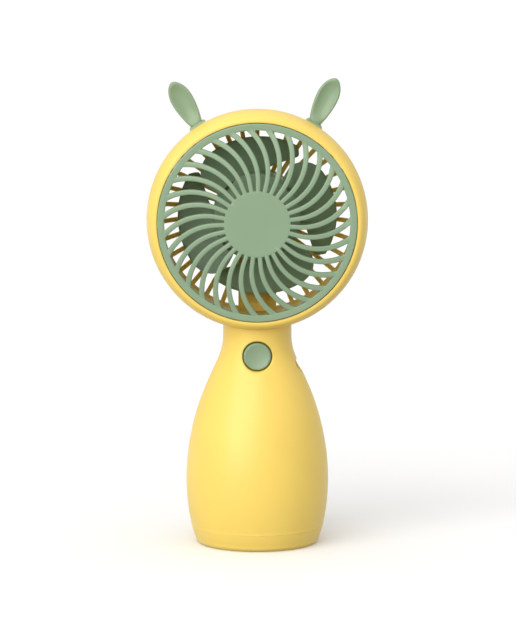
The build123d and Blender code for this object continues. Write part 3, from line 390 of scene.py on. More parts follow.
def moulded_plastic(name, colour, edge, roughness=(0.36, 0.46), grain=0.12, coat=0.08, soft=0.0):
    """Satin moulded plastic: faint clouding, fine grain, and sharp edges lightened towards the edge colour as
    a painted highlight.
    """
    material, nodes, links = nodes_of(name)
    shader = nodes["Principled BSDF"]
    place = nodes.new("ShaderNodeTexCoord").outputs["Object"]
    cloud = noise(nodes, links, place, 38.0, 3.0)
    tint = spread(nodes, links, cloud, 0.0, 1.0)
    body = blend_colours(nodes, links, tint, shade(colour, 0.975), shade(colour, 1.02))
    # Painted highlight: convex edges, found by pointiness, are blended towards the lighter edge colour.
    geometry = nodes.new("ShaderNodeNewGeometry")
    painted_edge_highlight = spread(nodes, links, geometry.outputs["Pointiness"], 0.0, 0.55, 0.515, 0.60)
    links.new(blend_colours(nodes, links, painted_edge_highlight, body, shade(edge, 1.0)), shader.inputs["Base Color"])
    rough = noise(nodes, links, place, 150.0, 4.0)
    links.new(spread(nodes, links, rough, *roughness), shader.inputs["Roughness"])
    fine = noise(nodes, links, place, 3200.0, 2.0)
    wave = noise(nodes, links, place, 210.0, 1.0)
    mixed = nodes.new("ShaderNodeMath")
    mixed.operation = "MULTIPLY_ADD"
    mixed.inputs[1].default_value = 0.35
    links.new(fine, mixed.inputs[0])
    links.new(wave, mixed.inputs[2])
    bump = nodes.new("ShaderNodeBump")
    bump.inputs["Strength"].default_value = grain
    bump.inputs["Distance"].default_value = 0.00012
    links.new(mixed.outputs[0], bump.inputs["Height"])
    links.new(bump.outputs["Normal"], shader.inputs["Normal"])
    shader.inputs["Coat Weight"].default_value = coat
    shader.inputs["Coat Roughness"].default_value = 0.25
    shader.inputs["Subsurface Weight"].default_value = soft
    shader.inputs["Subsurface Radius"].default_value = (0.0015, 0.001, 0.0005)
    return material


def metal(name, colour, roughness=(0.22, 0.38), stretch=(1.0, 1.0, 1.0)):
    """Bare metal with fine drawn lines and uneven polish."""
    material, nodes, links = nodes_of(name)
    shader = nodes["Principled BSDF"]
    shader.inputs["Metallic"].default_value = 1.0
    coordinates = nodes.new("ShaderNodeTexCoord").outputs["Object"]
    mapping = nodes.new("ShaderNodeMapping")
    mapping.inputs["Scale"].default_value = stretch
    links.new(coordinates, mapping.inputs["Vector"])
    lines = noise(nodes, links, mapping.outputs["Vector"], 1800.0, 3.0)
    cloud = noise(nodes, links, coordinates, 120.0, 3.0)
    tint = spread(nodes, links, cloud, 0.0, 1.0)
    body = blend_colours(nodes, links, tint, shade(colour, 0.86), shade(colour, 1.06))
    links.new(body, shader.inputs["Base Color"])
    links.new(spread(nodes, links, lines, *roughness), shader.inputs["Roughness"])
    bump = nodes.new("ShaderNodeBump")
    bump.inputs["Strength"].default_value = 0.15
    bump.inputs["Distance"].default_value = 0.00005
    links.new(lines, bump.inputs["Height"])
    links.new(bump.outputs["Normal"], shader.inputs["Normal"])
    return material


def stippled(name, colour, roughness=(0.5, 0.7), scale=900.0, strength=0.3):
    """Matt surface with a fine stipple: boards, foam, chips, sleeves and wire insulation."""
    material, nodes, links = nodes_of(name)
    shader = nodes["Principled BSDF"]
    place = nodes.new("ShaderNodeTexCoord").outputs["Object"]
    dots = noise(nodes, links, place, scale, 2.0)
    cloud = spread(nodes, links, noise(nodes, links, place, 90.0, 3.0), 0.0, 1.0)
    body = blend_colours(nodes, links, cloud, shade(colour, 0.85), shade(colour, 1.12))
    links.new(body, shader.inputs["Base Color"])
    links.new(spread(nodes, links, dots, *roughness), shader.inputs["Roughness"])
    bump = nodes.new("ShaderNodeBump")
    bump.inputs["Strength"].default_value = strength
    bump.inputs["Distance"].default_value = 0.0001
    links.new(dots, bump.inputs["Height"])
    links.new(bump.outputs["Normal"], shader.inputs["Normal"])
    return material


YELLOW_RGB = (0.920, 0.655, 0.130)
GREEN_RGB = (0.245, 0.350, 0.215)
# The third colour of each plastic is the lighter colour of its painted edge highlight.
YELLOW = moulded_plastic("yellow_satin", YELLOW_RGB, (0.96, 0.70, 0.20), soft=0.1)
GREEN = moulded_plastic("sage_satin", GREEN_RGB, (0.36, 0.50, 0.32), soft=0.05)
GREEN_WHEEL = moulded_plastic("sage_wheel", (0.225, 0.350, 0.215), (0.30, 0.43, 0.27))

SLOT_LOOKS = {
    "yellow_plastic": YELLOW,
    "green_plastic": GREEN,
    "board": stippled("circuit_board", (0.03, 0.16, 0.07), (0.35, 0.5)),
    "black_plastic": stippled("black_plastic", (0.02, 0.02, 0.022), (0.4, 0.6)),
    "white_plastic": stippled("white_plastic", (0.7, 0.7, 0.68), (0.4, 0.55)),
    "steel": metal("steel", (0.55, 0.55, 0.57)),
    "chrome": metal("plated_steel", (0.75, 0.75, 0.77), (0.08, 0.2)),
    "copper": metal("copper", (0.70, 0.30, 0.14), (0.2, 0.35)),
    "bronze": metal("bronze", (0.50, 0.32, 0.13), (0.3, 0.45)),
    "nickel": metal("nickel", (0.60, 0.58, 0.53), (0.2, 0.35)),
    "magnet": stippled("ferrite", (0.05, 0.05, 0.055), (0.5, 0.7), 1500.0),
    "cell_sleeve": stippled("cell_sleeve", (0.03, 0.12, 0.40), (0.25, 0.35), 400.0, 0.1),
    "foam": stippled("foam", (0.03, 0.03, 0.03), (0.8, 0.95), 1400.0, 0.9),
    "red_insulation": stippled("red_insulation", (0.45, 0.01, 0.01), (0.3, 0.4), 500.0, 0.1),
    "black_insulation": stippled("black_insulation", (0.01, 0.01, 0.01), (0.3, 0.4), 500.0, 0.1),
    "black_oxide": metal("black_oxide", (0.06, 0.06, 0.065), (0.3, 0.45)),
}


def dress_cad_nodes():
    """Gives every carried-over CAD node the material of its slot."""
    for row in frame["record"]["subparts"]:
        mesh = frame["nodes"][row["node"]].data
        mesh.materials.clear()
        mesh.materials.append(SLOT_LOOKS[row["material_slot"]])


# ---------------------------------------------------------------- casing

def grip_side(inset):
    """Side outline of the grip from the foot to the neck, as (radius, height)."""
    curve = smooth_curve(GRIP_OUTLINE, (0.45, 1), (0, 1), 90)
    widest = max(r for r, _ in curve)
    return [(r * GRIP_R / widest - inset, z * MM + BASE_Z) for r, z in curve]


def ring_radius(y):
    """Radius half way through the wall of the head at depth y."""
    if y <= DRUM_Y:
        return (BORE_R + HEAD_R) / 2
    depth = REAR_Y - DRUM_Y
    share = min((y - DRUM_Y) / depth, 0.98)
    return REAR_HUB_R + (DRUM_R - REAR_HUB_R) * math.sqrt(1 - share ** 2) - DOME_WALL / 2


def grip_half(side, seam_z):
    """Half of the hollow grip, -1 in front of the seam and +1 behind it."""
    outer = [p for p in grip_side(0.0) if p[1] > seam_z + 0.2 * MM]
    levels = [(outer[0][0], seam_z)] + outer
    bevel = SEAM_BEVEL
    lip = (levels[0][0] - bevel, seam_z + SEAM_GAP)
    first = (levels[0][0], seam_z + SEAM_GAP + bevel)
    heights = [lip, first] + levels[1:]
    neck_steps = 10
    rows = []
    for r, z in heights:
        rows.append(half_loop(side, r, z, bevel))
    for k in range(1, neck_steps + 1):
        rows.append(half_loop(side, NECK_R, None, bevel, k / neck_steps, heights[-1][1]))
    return rows


def half_loop(side, radius, z, bevel, rise=0.0, low=0.0):
    """Closed loop round half of the wall at one height. With a rise, it climbs to meet the head."""
    arc_steps = 72
    outer, inner = [], []
    gap = SEAM_GAP
    for k in range(arc_steps + 1):
        angle = math.pi * k / arc_steps
        outer.append((radius * math.cos(angle), side * radius * math.sin(angle)))
        inner.append(((radius - WALL) * math.cos(angle), side * (radius - WALL) * math.sin(angle)))
    start = outer[0]
    end = outer[-1]
    loop = [(start[0] - bevel, side * gap), (start[0] - bevel * 0.3, side * (gap + bevel * 0.3)),
            (start[0], side * (gap + bevel))]
    loop += [p for p in outer[1:-1] if abs(p[1]) > gap + bevel * 1.5]
    loop += [(end[0], side * (gap + bevel)), (end[0] + bevel * 0.3, side * (gap + bevel * 0.3)),
             (end[0] + bevel, side * gap)]
    back = [(inner[-1][0], side * gap)] + [p for p in reversed(inner[1:-1]) if abs(p[1]) > gap * 2]
    back += [(inner[0][0], side * gap)]
    loop += back
    points = []
    for x, y in loop:
        height = z
        if z is None:
            wall = ring_radius(y)
            top = HEAD_Z - math.sqrt(wall ** 2 - x ** 2)
            height = low + (top - low) * rise
        points.append((x, y, height))
    return points


def front_ring_profile():
    """Section of the front half of the head ring."""
    widest = (WIDEST_Y, HEAD_R)
    drum = (DRUM_Y, DRUM_R)
    crown = bezier((RIM_Y + 0.15 * MM, BORE_R + 0.35 * MM), (RIM_Y - 0.05 * MM, BORE_R + 3.1 * MM),
                   (WIDEST_Y - 5.5 * MM, HEAD_R), widest, 22)
    flank = bezier(widest, (WIDEST_Y + 8 * MM, HEAD_R), (DRUM_Y - 4 * MM, DRUM_R + 0.7 * MM), drum, 40)
    front = [p for p in flank if p[0] < SEAM_Y - SEAM_BEVEL - SEAM_GAP]
    edge_r = front[-1][1]
    seam = [(SEAM_Y - SEAM_GAP - SEAM_BEVEL, edge_r), (SEAM_Y - SEAM_GAP, edge_r - SEAM_BEVEL)]
    bore = [(SEAM_Y - SEAM_GAP, BORE_R), (RIM_Y + 0.5 * MM, BORE_R), (RIM_Y + 0.2 * MM, BORE_R + 0.08 * MM)]
    return crown + front[1:] + seam + bore


def rear_ring_profile():
    """Section of the rear half of the ring, round to the rim of the rear windows."""
    widest = (WIDEST_Y, HEAD_R)
    drum = (DRUM_Y, DRUM_R)
    flank = bezier(widest, (WIDEST_Y + 8 * MM, HEAD_R), (DRUM_Y - 4 * MM, DRUM_R + 0.7 * MM), drum, 40)
    back = [p for p in flank if p[0] > SEAM_Y + SEAM_BEVEL + SEAM_GAP]
    edge_r = back[0][1]
    seam = [(SEAM_Y + SEAM_GAP, edge_r - SEAM_BEVEL), (SEAM_Y + SEAM_GAP + SEAM_BEVEL, edge_r)]
    radii = np.linspace(DRUM_R, WINDOW_R + 0.3 * MM, 14)[1:]
    outer = [(dome_y(r, 0.0), r) for r in radii]
    lip_out = (dome_y(WINDOW_R, 0.0) - 0.25 * MM, WINDOW_R)
    lip_in = (dome_y(WINDOW_R, DOME_WALL) + 0.25 * MM, WINDOW_R)
    radii = np.linspace(WINDOW_R + 0.3 * MM, BORE_R - 0.02 * MM, 10)
    inner = [(dome_y(r, DOME_WALL), r) for r in radii]
    bore = [(DRUM_Y, BORE_R), (SEAM_Y + SEAM_GAP, BORE_R)]
    return seam + back[1:] + outer + [lip_out, lip_in] + inner + bore


def dome_y(radius, inset):
    """Depth of the rear dome at a radius, measured in from its outer skin."""
    depth = REAR_Y - DRUM_Y - inset
    edge = DRUM_R - inset if inset < DOME_WALL else BORE_R - (inset - DOME_WALL)
    share = min(max(radius - REAR_HUB_R, 0.0) / (edge - REAR_HUB_R), 1.0)
    return DRUM_Y + depth * math.sqrt(1 - share ** 2)


def dome_strip(left, right, near, far, skin, under, across=2, along=26, edge=0.3 * MM):
    """Closed strip of the dome hanging below the fan axis, between two sides and two radii."""
    rows = []
    for v in np.linspace(near, far, along):
        outer, inner = [], []
        for u in np.linspace(left + edge, right - edge, across):
            rho = math.hypot(u, v)
            outer.append((u, dome_y(rho, skin), -v))
            inner.append((u, dome_y(rho, under), -v))
        low = (left, dome_y(math.hypot(left, v), skin) - edge, -v)
        low_in = (left, dome_y(math.hypot(left, v), under) + edge, -v)
        high = (right, dome_y(math.hypot(right, v), skin) - edge, -v)
        high_in = (right, dome_y(math.hypot(right, v), under) + edge, -v)
        rows.append([low] + outer + [high, high_in] + inner[::-1] + [low_in])
    return rows


def turned(rows, angle):
    """Rows of points turned about the fan axis and moved up to the head."""
    ca, sa = math.cos(angle), math.sin(angle)
    return [[(x * ca - z * sa, y, HEAD_Z + x * sa + z * ca) for x, y, z in row] for row in rows]


def build_front_casing():
    builder = Builder()
    builder.add(grip_half(-1, CAP_TOP), wrap_columns=True, caps=True)
    piece = finish_mesh("front_casing", builder.verts, builder.faces, "housing", YELLOW, 30)
    hole = Builder()
    bore_r = HOLE_R + LIP_WIDTH - 0.05 * MM
    profile = [(-BEYOND, 0.0), (-BEYOND, bore_r), (-8 * MM, bore_r), (-8 * MM, 0.0)]
    lathe_fan(hole, profile, 96, (0.0, BUTTON_Z))
    cut(piece, loose_solid("button_hole", hole), port_cutter())
    extra = Builder()
    lathe_fan(extra, front_ring_profile(), 256)
    extra.add(button_lip(), wrap_rows=True, wrap_columns=True)
    join_shells(piece, extra)
    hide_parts("front_shell")
    return piece


def button_lip():
    """Bevelled lip round the button hole, which follows the curve of the grip."""
    section = [(LIP_WIDTH + 0.02 * MM, 0.0), (LIP_WIDTH * 0.9, -0.03 * MM), (LIP_WIDTH * 0.75, 0.0),
               (LIP_WIDTH * 0.25, 0.3 * MM), (LIP_WIDTH * 0.08, 0.42 * MM), (0.0, 0.6 * MM)]
    rows = []
    for k in range(120):
        angle = 2 * math.pi * k / 120
        row = []
        for out, drop in section:
            x, z = (HOLE_R + out) * math.cos(angle), BUTTON_Z + (HOLE_R + out) * math.sin(angle)
            row.append((x, -math.sqrt(radius_at(z) ** 2 - x ** 2) + drop, z))
        inner_x, inner_z = HOLE_R * math.cos(angle), BUTTON_Z + HOLE_R * math.sin(angle)
        row.append((inner_x, LIP_BACK, inner_z))
        outer_r = HOLE_R + LIP_WIDTH + 0.02 * MM
        row.append((outer_r * math.cos(angle), LIP_BACK, BUTTON_Z + outer_r * math.sin(angle)))
        rows.append(row)
    return rows


def join_shells(piece, builder):
    """Adds more closed shells to a piece that is already a mesh."""
    work = bmesh.new()
    work.from_mesh(piece.data)
    extra = bmesh.new()
    mesh = bpy.data.meshes.new("extra")
    mesh.from_pydata([tuple(v) for v in builder.verts], [], builder.faces)
    extra.from_mesh(mesh)
    bmesh.ops.remove_doubles(extra, verts=extra.verts, dist=1e-7)
    bmesh.ops.recalc_face_normals(extra, faces=extra.faces)
    set_sharp(extra, 40)
    extra.to_mesh(mesh)
    extra.free()
    work.from_mesh(mesh)
    work.to_mesh(piece.data)
    work.free()
    bpy.data.meshes.remove(mesh)


def stadium(half_width, half_height, steps=16):
    """Closed outline of a slot with round ends."""
    flat = half_width - half_height
    points = []
    for k in range(steps + 1):
        angle = -math.pi / 2 + math.pi * k / steps
        points.append((flat + half_height * math.cos(angle), half_height * math.sin(angle)))
    for k in range(steps + 1):
        angle = math.pi / 2 + math.pi * k / steps
        points.append((-flat + half_height * math.cos(angle), half_height * math.sin(angle)))
    return points


def port_cutter():
    """Stepped recess with straight walls and the opening for the charging socket."""
    levels = [(8 * MM, PORT_HOLE), (PORT_FLOOR_X, PORT_HOLE), (PORT_FLOOR_X + 0.001 * MM, PORT_MOUTH),
              (23.0 * MM, PORT_MOUTH)]
    builder = Builder()
    rows = [[(x, u, PORT_Z + v) for u, v in stadium(*half_size)] for x, half_size in levels]
    builder.add(rows, wrap_columns=True, caps=True)
    return loose_solid("port_hole", builder)


def build_rear_casing():
    builder = Builder()
    builder.add(grip_half(1, CAP_TOP), wrap_columns=True, caps=True)
    piece = finish_mesh("rear_casing", builder.verts, builder.faces, "housing", YELLOW, 30)
    bores = []
    for x, z in screw_places():
        bore = Builder()
        profile = [(SCREW_LEDGE, 0.0), (SCREW_LEDGE, SCREW_SEAT), (BEYOND, SCREW_SEAT), (BEYOND, 0.0)]
        lathe_fan(bore, profile, 40, (x, z))
        bores.append(loose_solid("screw_bore", bore))
    cut(piece, port_cutter(), *bores)
    extra = Builder()
    lathe_fan(extra, rear_ring_profile(), 256)
    under = REAR_Y - DOME_WALL
    hub = rounded([(REAR_Y, 0.0), (REAR_Y, REAR_HUB_R), (under, REAR_HUB_R), (under, 0.0)],
                  [0, 0.5 * MM, 0.3 * MM, 0])
    lathe_fan(extra, hub, 128)
    half = REAR_BAR_WIDTH / 2
    for k in range(REAR_BARS):
        angle = 2 * math.pi * k / REAR_BARS + math.pi
        across_strut = abs(math.sin(angle) * WINDOW_R * 0.75) < STRUT_HALF and math.cos(angle) < 0
        if across_strut:
            continue
        rows = dome_strip(-half, half, REAR_HUB_R - 0.6 * MM, WINDOW_R + 0.5 * MM, BAR_SINK, DOME_WALL)
        extra.add(turned(rows, angle + math.pi), wrap_columns=True, caps=True)
    rows = dome_strip(-STRUT_HALF, STRUT_HALF, REAR_HUB_R * 0.88, WINDOW_R + 0.4 * MM,
                      BAR_SINK, DOME_WALL + BAR_SINK, 17, 40)
    extra.add(turned(rows, 0.0), wrap_columns=True, caps=True)
    for left in (-3.5 * MM, 2.5 * MM):
        rows = dome_strip(left, left + 1.0 * MM, 19.6 * MM, 39.4 * MM, DOME_WALL - 0.3 * MM,
                          DOME_WALL + 1.75 * MM)
        extra.add(turned(rows, 0.0), wrap_columns=True, caps=True)
    for x, z in screw_places():
        extra.add(screw_tube(x, z), wrap_rows=True, wrap_columns=True)
    join_shells(piece, extra)
    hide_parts("rear_shell")
    return piece


def screw_tube(x, z):
    """Tube round a casing screw, whose end follows the wall it stands on."""
    foot = 0.1 * MM
    sunk = 0.5 * MM
    rows = []
    for k in range(40):
        angle = 2 * math.pi * k / 40
        ca, sa = math.cos(angle), math.sin(angle)
        ends = []
        for r in (SCREW_SEAT, SCREW_TUBE):
            ends.append(math.sqrt(radius_at(z + r * sa) ** 2 - (x + r * ca) ** 2) - sunk)
        section = [(SCREW_BORE, foot), (SCREW_BORE, SCREW_LEDGE), (SCREW_SEAT, SCREW_LEDGE),
                   (SCREW_SEAT, ends[0]), (SCREW_TUBE, ends[1]), (SCREW_TUBE, foot)]
        rows.append([(x + r * ca, y, z + r * sa) for r, y in section])
    return rows


def screw_places():
    """Axes of the casing screws, read from the frame."""
    screws = frame["nodes"]["shell_screws"].data
    corners = np.array([v.co for v in screws.vertices])
    places = []
    for side in (-1, 1):
        group = corners[corners[:, 0] * side > 0]
        middle = (group[:, 2].min() + group[:, 2].max()) / 2
        for part in (group[group[:, 2] < middle], group[group[:, 2] >= middle]):
            low, high = part.min(0), part.max(0)
            places.append(((low[0] + high[0]) / 2, (low[2] + high[2]) / 2))
    return places


def radius_at(z):
    """Outer radius of the grip at a height."""
    side = grip_side(0.0)
    return float(np.interp(z, [p[1] for p in side], [p[0] for p in side]))


def build_base_cap():
    """Bottom cap with a rounded foot and a flat underside."""
    foot_r = 23.6 * MM
    side = [p for p in grip_side(0.0) if p[1] < CAP_TOP - 0.4 * MM]
    top_r = radius_at(CAP_TOP)
    foot = bezier((foot_r, BASE_Z), (foot_r + 1.45 * MM, BASE_Z),
                  (side[0][0] - 0.15 * MM, BASE_Z + 1.0 * MM), side[0], 12)
    seam_z = CAP_TOP - SEAM_GAP
    outer = foot + side[1:] + [(top_r, seam_z - SEAM_BEVEL), (top_r - SEAM_BEVEL, seam_z)]
    step_r = top_r - 1.9 * MM
    floor_z = BASE_Z + 2.2 * MM
    inner = [(step_r, seam_z), (step_r, CAP_HIGH.z), (top_r - 3.2 * MM, CAP_HIGH.z),
             (top_r - 3.4 * MM, floor_z), (0.0, floor_z), (0.0, BASE_Z)]
    builder = Builder()
    lathe_up(builder, outer + inner, 192)
    piece = finish_mesh("base_cap", builder.verts, builder.faces, "housing", YELLOW, 40)
    low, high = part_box("base_screws")
    head_r = 1.9 * MM
    screw_ys = (low.y + head_r, high.y - head_r)
    below = -2 * MM
    hollow = [(0.0, below), (SCREW_SEAT, below), (SCREW_SEAT, BASE_LEDGE), (0.0, BASE_LEDGE)]
    cutters = []
    for y in screw_ys:
        seat = Builder()
        lathe_up(seat, hollow, 40, (0.0, y))
        cutters.append(loose_solid("seat", seat))
    cut(piece, *cutters)
    extra = Builder()
    tube = [(SCREW_SEAT, 0.8 * MM), (BASE_BOSS_R, 0.8 * MM), (BASE_BOSS_R, CAP_TOP), (BASE_BORE, CAP_TOP),
            (BASE_BORE, BASE_LEDGE), (SCREW_SEAT, BASE_LEDGE)]
    for y in screw_ys:
        lathe_up(extra, tube, 40, (0.0, y))
    join_shells(piece, extra)
    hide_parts("bottom_cap")
    return piece


# ---------------------------------------------------------------- front grille

def dish_y(radius):
    """Depth of the front face of the grille at a radius."""
    drop = GRILLE_RIM_Y - DISC_Y
    run = RING_INNER - DISC_R
    bend = (drop ** 2 + run ** 2) / (2 * drop)
    reach = max(radius - DISC_R, 0.0)
    return DISC_Y + bend - math.sqrt(bend ** 2 - min(reach, run) ** 2)


def grille_bar(phase):
    """One bar as a row of rounded sections, straight at first and then bending."""
    rows = []
    straight = np.linspace(DISC_R - 1.0 * MM, BEND_START, 5)
    stations = [((0.0, r), (1.0, 0.0)) for r in straight]
    for turn in np.linspace(0, math.radians(64.0), 26)[1:]:
        centre = (-BEND_R + BEND_R * math.cos(turn), BEND_START + BEND_R * math.sin(turn))
        stations.append((centre, (math.cos(turn), math.sin(turn))))
    total = len(stations) - 1
    for k, (centre, across) in enumerate(stations):
        width = BAR_ROOT + (BAR_TIP - BAR_ROOT) * k / total
        rho = math.hypot(*centre)
        front = dish_y(rho) + BAR_SINK
        back = dish_y(rho) + GRILLE_DEPTH - BAR_SINK
        half = width / 2
        slim = half * 0.86
        section = rounded([(-half, front), (half, front), (slim, back), (-slim, back)],
                          [0.62 * MM, 0.62 * MM, 0.3 * MM, 0.3 * MM], 5)
        rows.append([(centre[0] + u * across[0], y, centre[1] + u * across[1]) for u, y in section])
    return turned(rows, phase)


def build_front_grille():
    builder = Builder()
    disc = rounded([(DISC_Y, DISC_R - 1.0 * MM), (DISC_Y, DISC_R + 0.1 * MM),
                    (DISC_Y + GRILLE_DEPTH, DISC_R + 0.1 * MM), (DISC_Y + GRILLE_DEPTH, DISC_R - 1.0 * MM)],
                   [0, 0.18 * MM, 0.3 * MM, 0], 4)
    inner_rings = np.linspace(0.0, DISC_R - 1.0 * MM, 8)[:-1]
    disc = [(DISC_Y, r) for r in inner_rings] + disc + [(DISC_Y + GRILLE_DEPTH, r) for r in inner_rings[::-1]]
    lathe_fan(builder, disc, 192)
    outer = RING_OUTER
    skirt_back = GRILLE_HIGH.y
    ring = rounded([(GRILLE_RIM_Y, RING_INNER), (GRILLE_RIM_Y, outer), (skirt_back, outer),
                    (skirt_back, outer - 1.25 * MM), (GRILLE_RIM_Y + GRILLE_DEPTH, outer - 1.3 * MM),
                    (GRILLE_RIM_Y + GRILLE_DEPTH, RING_INNER)],
                   [0.5 * MM, 0.5 * MM, 0.2 * MM, 0.2 * MM, 0.2 * MM, 0.3 * MM], 5)
    lathe_fan(builder, ring, 256)
    for k in range(GRILLE_BARS):
        phase = BAR_PHASE + 2 * math.pi * k / GRILLE_BARS
        builder.add(grille_bar(phase), wrap_columns=True, caps=True)
    piece = finish_mesh("front_grille_bars", builder.verts, builder.faces, "housing",
                        GREEN, 50)
    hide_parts("front_grille")
    return piece


# ---------------------------------------------------------------- impeller

def blade_limits(share):
    """Angles of the two edges of a blade at a share of its span, anticlockwise from its middle."""
    radius = BLADE_ROOT_R + share * (BLADE_TIP_R - BLADE_ROOT_R)
    lead = np.interp(radius / MM, [r for r, _ in BLADE_LEAD], [angle for _, angle in BLADE_LEAD])
    trail = np.interp(radius / MM, [r for r, _ in BLADE_TRAIL], [angle for _, angle in BLADE_TRAIL])
    return radius, math.radians(lead), math.radians(trail)


def blade_depth(angle):
    """A blade runs from front to back round the axis."""
    return BLADE_DEPTH + (BLADE_MIDDLE - angle) * BLADE_RISE


def blade_rows(turn):
    """Closed skin of one blade with rounded edges."""
    spans = [0.0, 0.06, 0.14, 0.24, 0.34, 0.44, 0.54, 0.64, 0.73, 0.80, 0.86, 0.91, 0.95, 0.98, 1.0]
    across = np.concatenate([[0, 0.012], np.linspace(0.035, 0.965, 22), [0.988, 1]])
    top, bottom = [], []
    for share in spans:
        radius, lead, trail = blade_limits(share)
        line_top, line_bottom = [], []
        for u in across:
            angle = lead + (trail - lead) * u
            edge = min(u, 1 - u) * (lead - trail) * radius
            rim = min(edge, (BLADE_TIP_R - radius) if share > 0.9 else edge)
            swell = BLADE_T / 2 * math.sqrt(max(0.0, 1 - (1 - min(rim / (BLADE_T / 2), 1.0)) ** 2))
            x, z = -radius * math.sin(angle + turn), HEAD_Z + radius * math.cos(angle + turn)
            y = blade_depth(angle)
            line_top.append((x, y - swell, z))
            line_bottom.append((x, y + swell, z))
        top.append(line_top)
        bottom.append(line_bottom)
    rows = []
    for up, down in zip(top, bottom):
        rows.append(up + down[::-1])
    return rows


def build_impeller():
    builder = Builder()
    front = -1.0 * MM
    back = 11.6 * MM
    wall = 1.3 * MM
    boss_r = 3.2 * MM
    shaft_r = 1.0 * MM
    cup_floor = front + 1.4 * MM
    boss_back = 3.8 * MM
    cup = rounded([(front, shaft_r), (front, HUB_R), (back, HUB_R), (back, HUB_R - wall),
                   (cup_floor, HUB_R - wall), (cup_floor, boss_r),
                   (boss_back, boss_r), (boss_back, shaft_r)],
                  [0, 1.6 * MM, 0.3 * MM, 0.3 * MM, 0.6 * MM, 0.4 * MM, 0.2 * MM, 0], 6)
    lathe_fan(builder, cup, 160)
    for k in range(4):
        builder.add(blade_rows(2 * math.pi * k / 4), wrap_columns=True, caps=True)
    piece = finish_mesh("fan_wheel", builder.verts, builder.faces, "rotor", GREEN_WHEEL, 50)
    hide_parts("impeller")
    return piece


# ---------------------------------------------------------------- ears and button

def ear_half_width(t):
    """Half width of an ear at a share of its length."""
    swell = 0.60
    if t < swell:
        return EAR_FOOT + (EAR_HALF - EAR_FOOT) * math.sin(math.pi / 2 * t / swell) ** 0.9
    return EAR_HALF * max(0.0, 1 - ((t - swell) / (1 - swell)) ** 2) ** 0.58


def ear_rows():
    """Spoon-shaped ear standing straight up: a round rim, a dished front and a full back."""
    stations = 44
    around = 56
    rows = []
    for i in range(stations + 1):
        t = math.sin(math.pi / 2 * i / stations) if i > stations * 0.5 else i / stations * math.sqrt(2)
        t = min(t, 1.0)
        half = max(ear_half_width(t), 0.02 * MM)
        thick = EAR_T / 2 * min(1.0, (half / EAR_HALF * 1.9)) ** 0.55
        row = []
        for k in range(around):
            angle = 2 * math.pi * k / around
            ca, sa = math.cos(angle), math.sin(angle)
            s = math.copysign(abs(ca) ** 0.82, ca)
            y = math.copysign(abs(sa) ** 0.82, sa) * thick
            if y < 0:
                window = max(0.0, 1 - (abs(s) / 0.84) ** 2.2)
                along = max(0.0, 1 - (abs(t - 0.53) / 0.44) ** 3.0)
                y += EAR_DISH * window * along * math.sqrt(half / EAR_HALF)
            row.append((s * half, y, t * EAR_LENGTH))
        rows.append(row)
    return rows


def placed_ear(rows, side):
    """Ear rows leaned over and moved to their foot on the ring."""
    lean = EAR_LEAN[side] * side
    ca, sa = math.cos(lean), math.sin(lean)
    foot_r = HEAD_R - 0.6 * MM
    foot = (side * foot_r * math.sin(EAR_ANGLE[side]), HEAD_Z + foot_r * math.cos(EAR_ANGLE[side]))
    return [[(foot[0] + x * ca + z * sa, y, foot[1] - x * sa + z * ca) for x, y, z in row] for row in rows]


def saddle_rows(side):
    """Curved pad under an ear, lying on the ring."""
    half_angle = math.radians(4.6)
    reach, low, high = 3.0 * MM, 45.0 * MM, 46.65 * MM
    outline = rounded([(-reach, low), (-reach, high), (reach, high), (reach, low)],
                      [0, 0.45 * MM, 0.45 * MM, 0], 4)
    rows = []
    count = 16
    for k in range(count + 1):
        u = -1 + 2 * k / count
        angle = -side * EAR_ANGLE[side] + half_angle * u
        drop = 0.5 * MM * (max(0.0, abs(u) - 0.8) / 0.2) ** 2
        ca, sa = math.cos(angle), math.sin(angle)
        rows.append([(-(r - drop) * sa, y, HEAD_Z + (r - drop) * ca) for y, r in outline])
    return rows


def build_ear(name, side, node):
    builder = Builder()
    builder.add(placed_ear(ear_rows(), side), wrap_columns=True, caps=True)
    builder.add(saddle_rows(side), wrap_columns=True, caps=True)
    piece = finish_mesh(name, builder.verts, builder.faces, "housing", GREEN, 60)
    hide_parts(node)
    return piece


def build_button():
    """Dished push button with a bevelled edge, made brighter by the painted edge highlight of its material.
    """
    radius = BUTTON_R
    face = BUTTON_LOW.y
    rim = radius - 0.62 * MM
    bowl = (rim ** 2 + BUTTON_DISH ** 2) / (2 * BUTTON_DISH)
    dish = []
    for r in np.linspace(0.0, rim, 14):
        depth = BUTTON_DISH - (bowl - math.sqrt(bowl ** 2 - r ** 2))
        dish.append((face + depth, r))
    edge = rounded([dish[-1], (face, radius - 0.5 * MM), (face + 0.5 * MM, radius), (face + 3 * MM, radius)],
                   [0, 0.15 * MM, 0.15 * MM, 0], 3)
    flange_front = -10.9 * MM
    flange_back = -10.1 * MM
    pocket = -13.9 * MM
    low = [(flange_front, radius), (flange_front, BUTTON_FLANGE_R), (flange_back, BUTTON_FLANGE_R),
           (flange_back, BUTTON_COLLAR_R), (pocket, BUTTON_COLLAR_R), (pocket, BUTTON_STEM_R),
           (BUTTON_HIGH.y, BUTTON_STEM_R), (BUTTON_HIGH.y, 0.0)]
    builder = Builder()
    lathe_fan(builder, dish[:-1] + edge + low, 128, (0.0, BUTTON_Z))
    piece = finish_mesh("push_button", builder.verts, builder.faces, "button", GREEN, 35)
    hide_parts("button_cap")
    return piece


# ---------------------------------------------------------------- stage

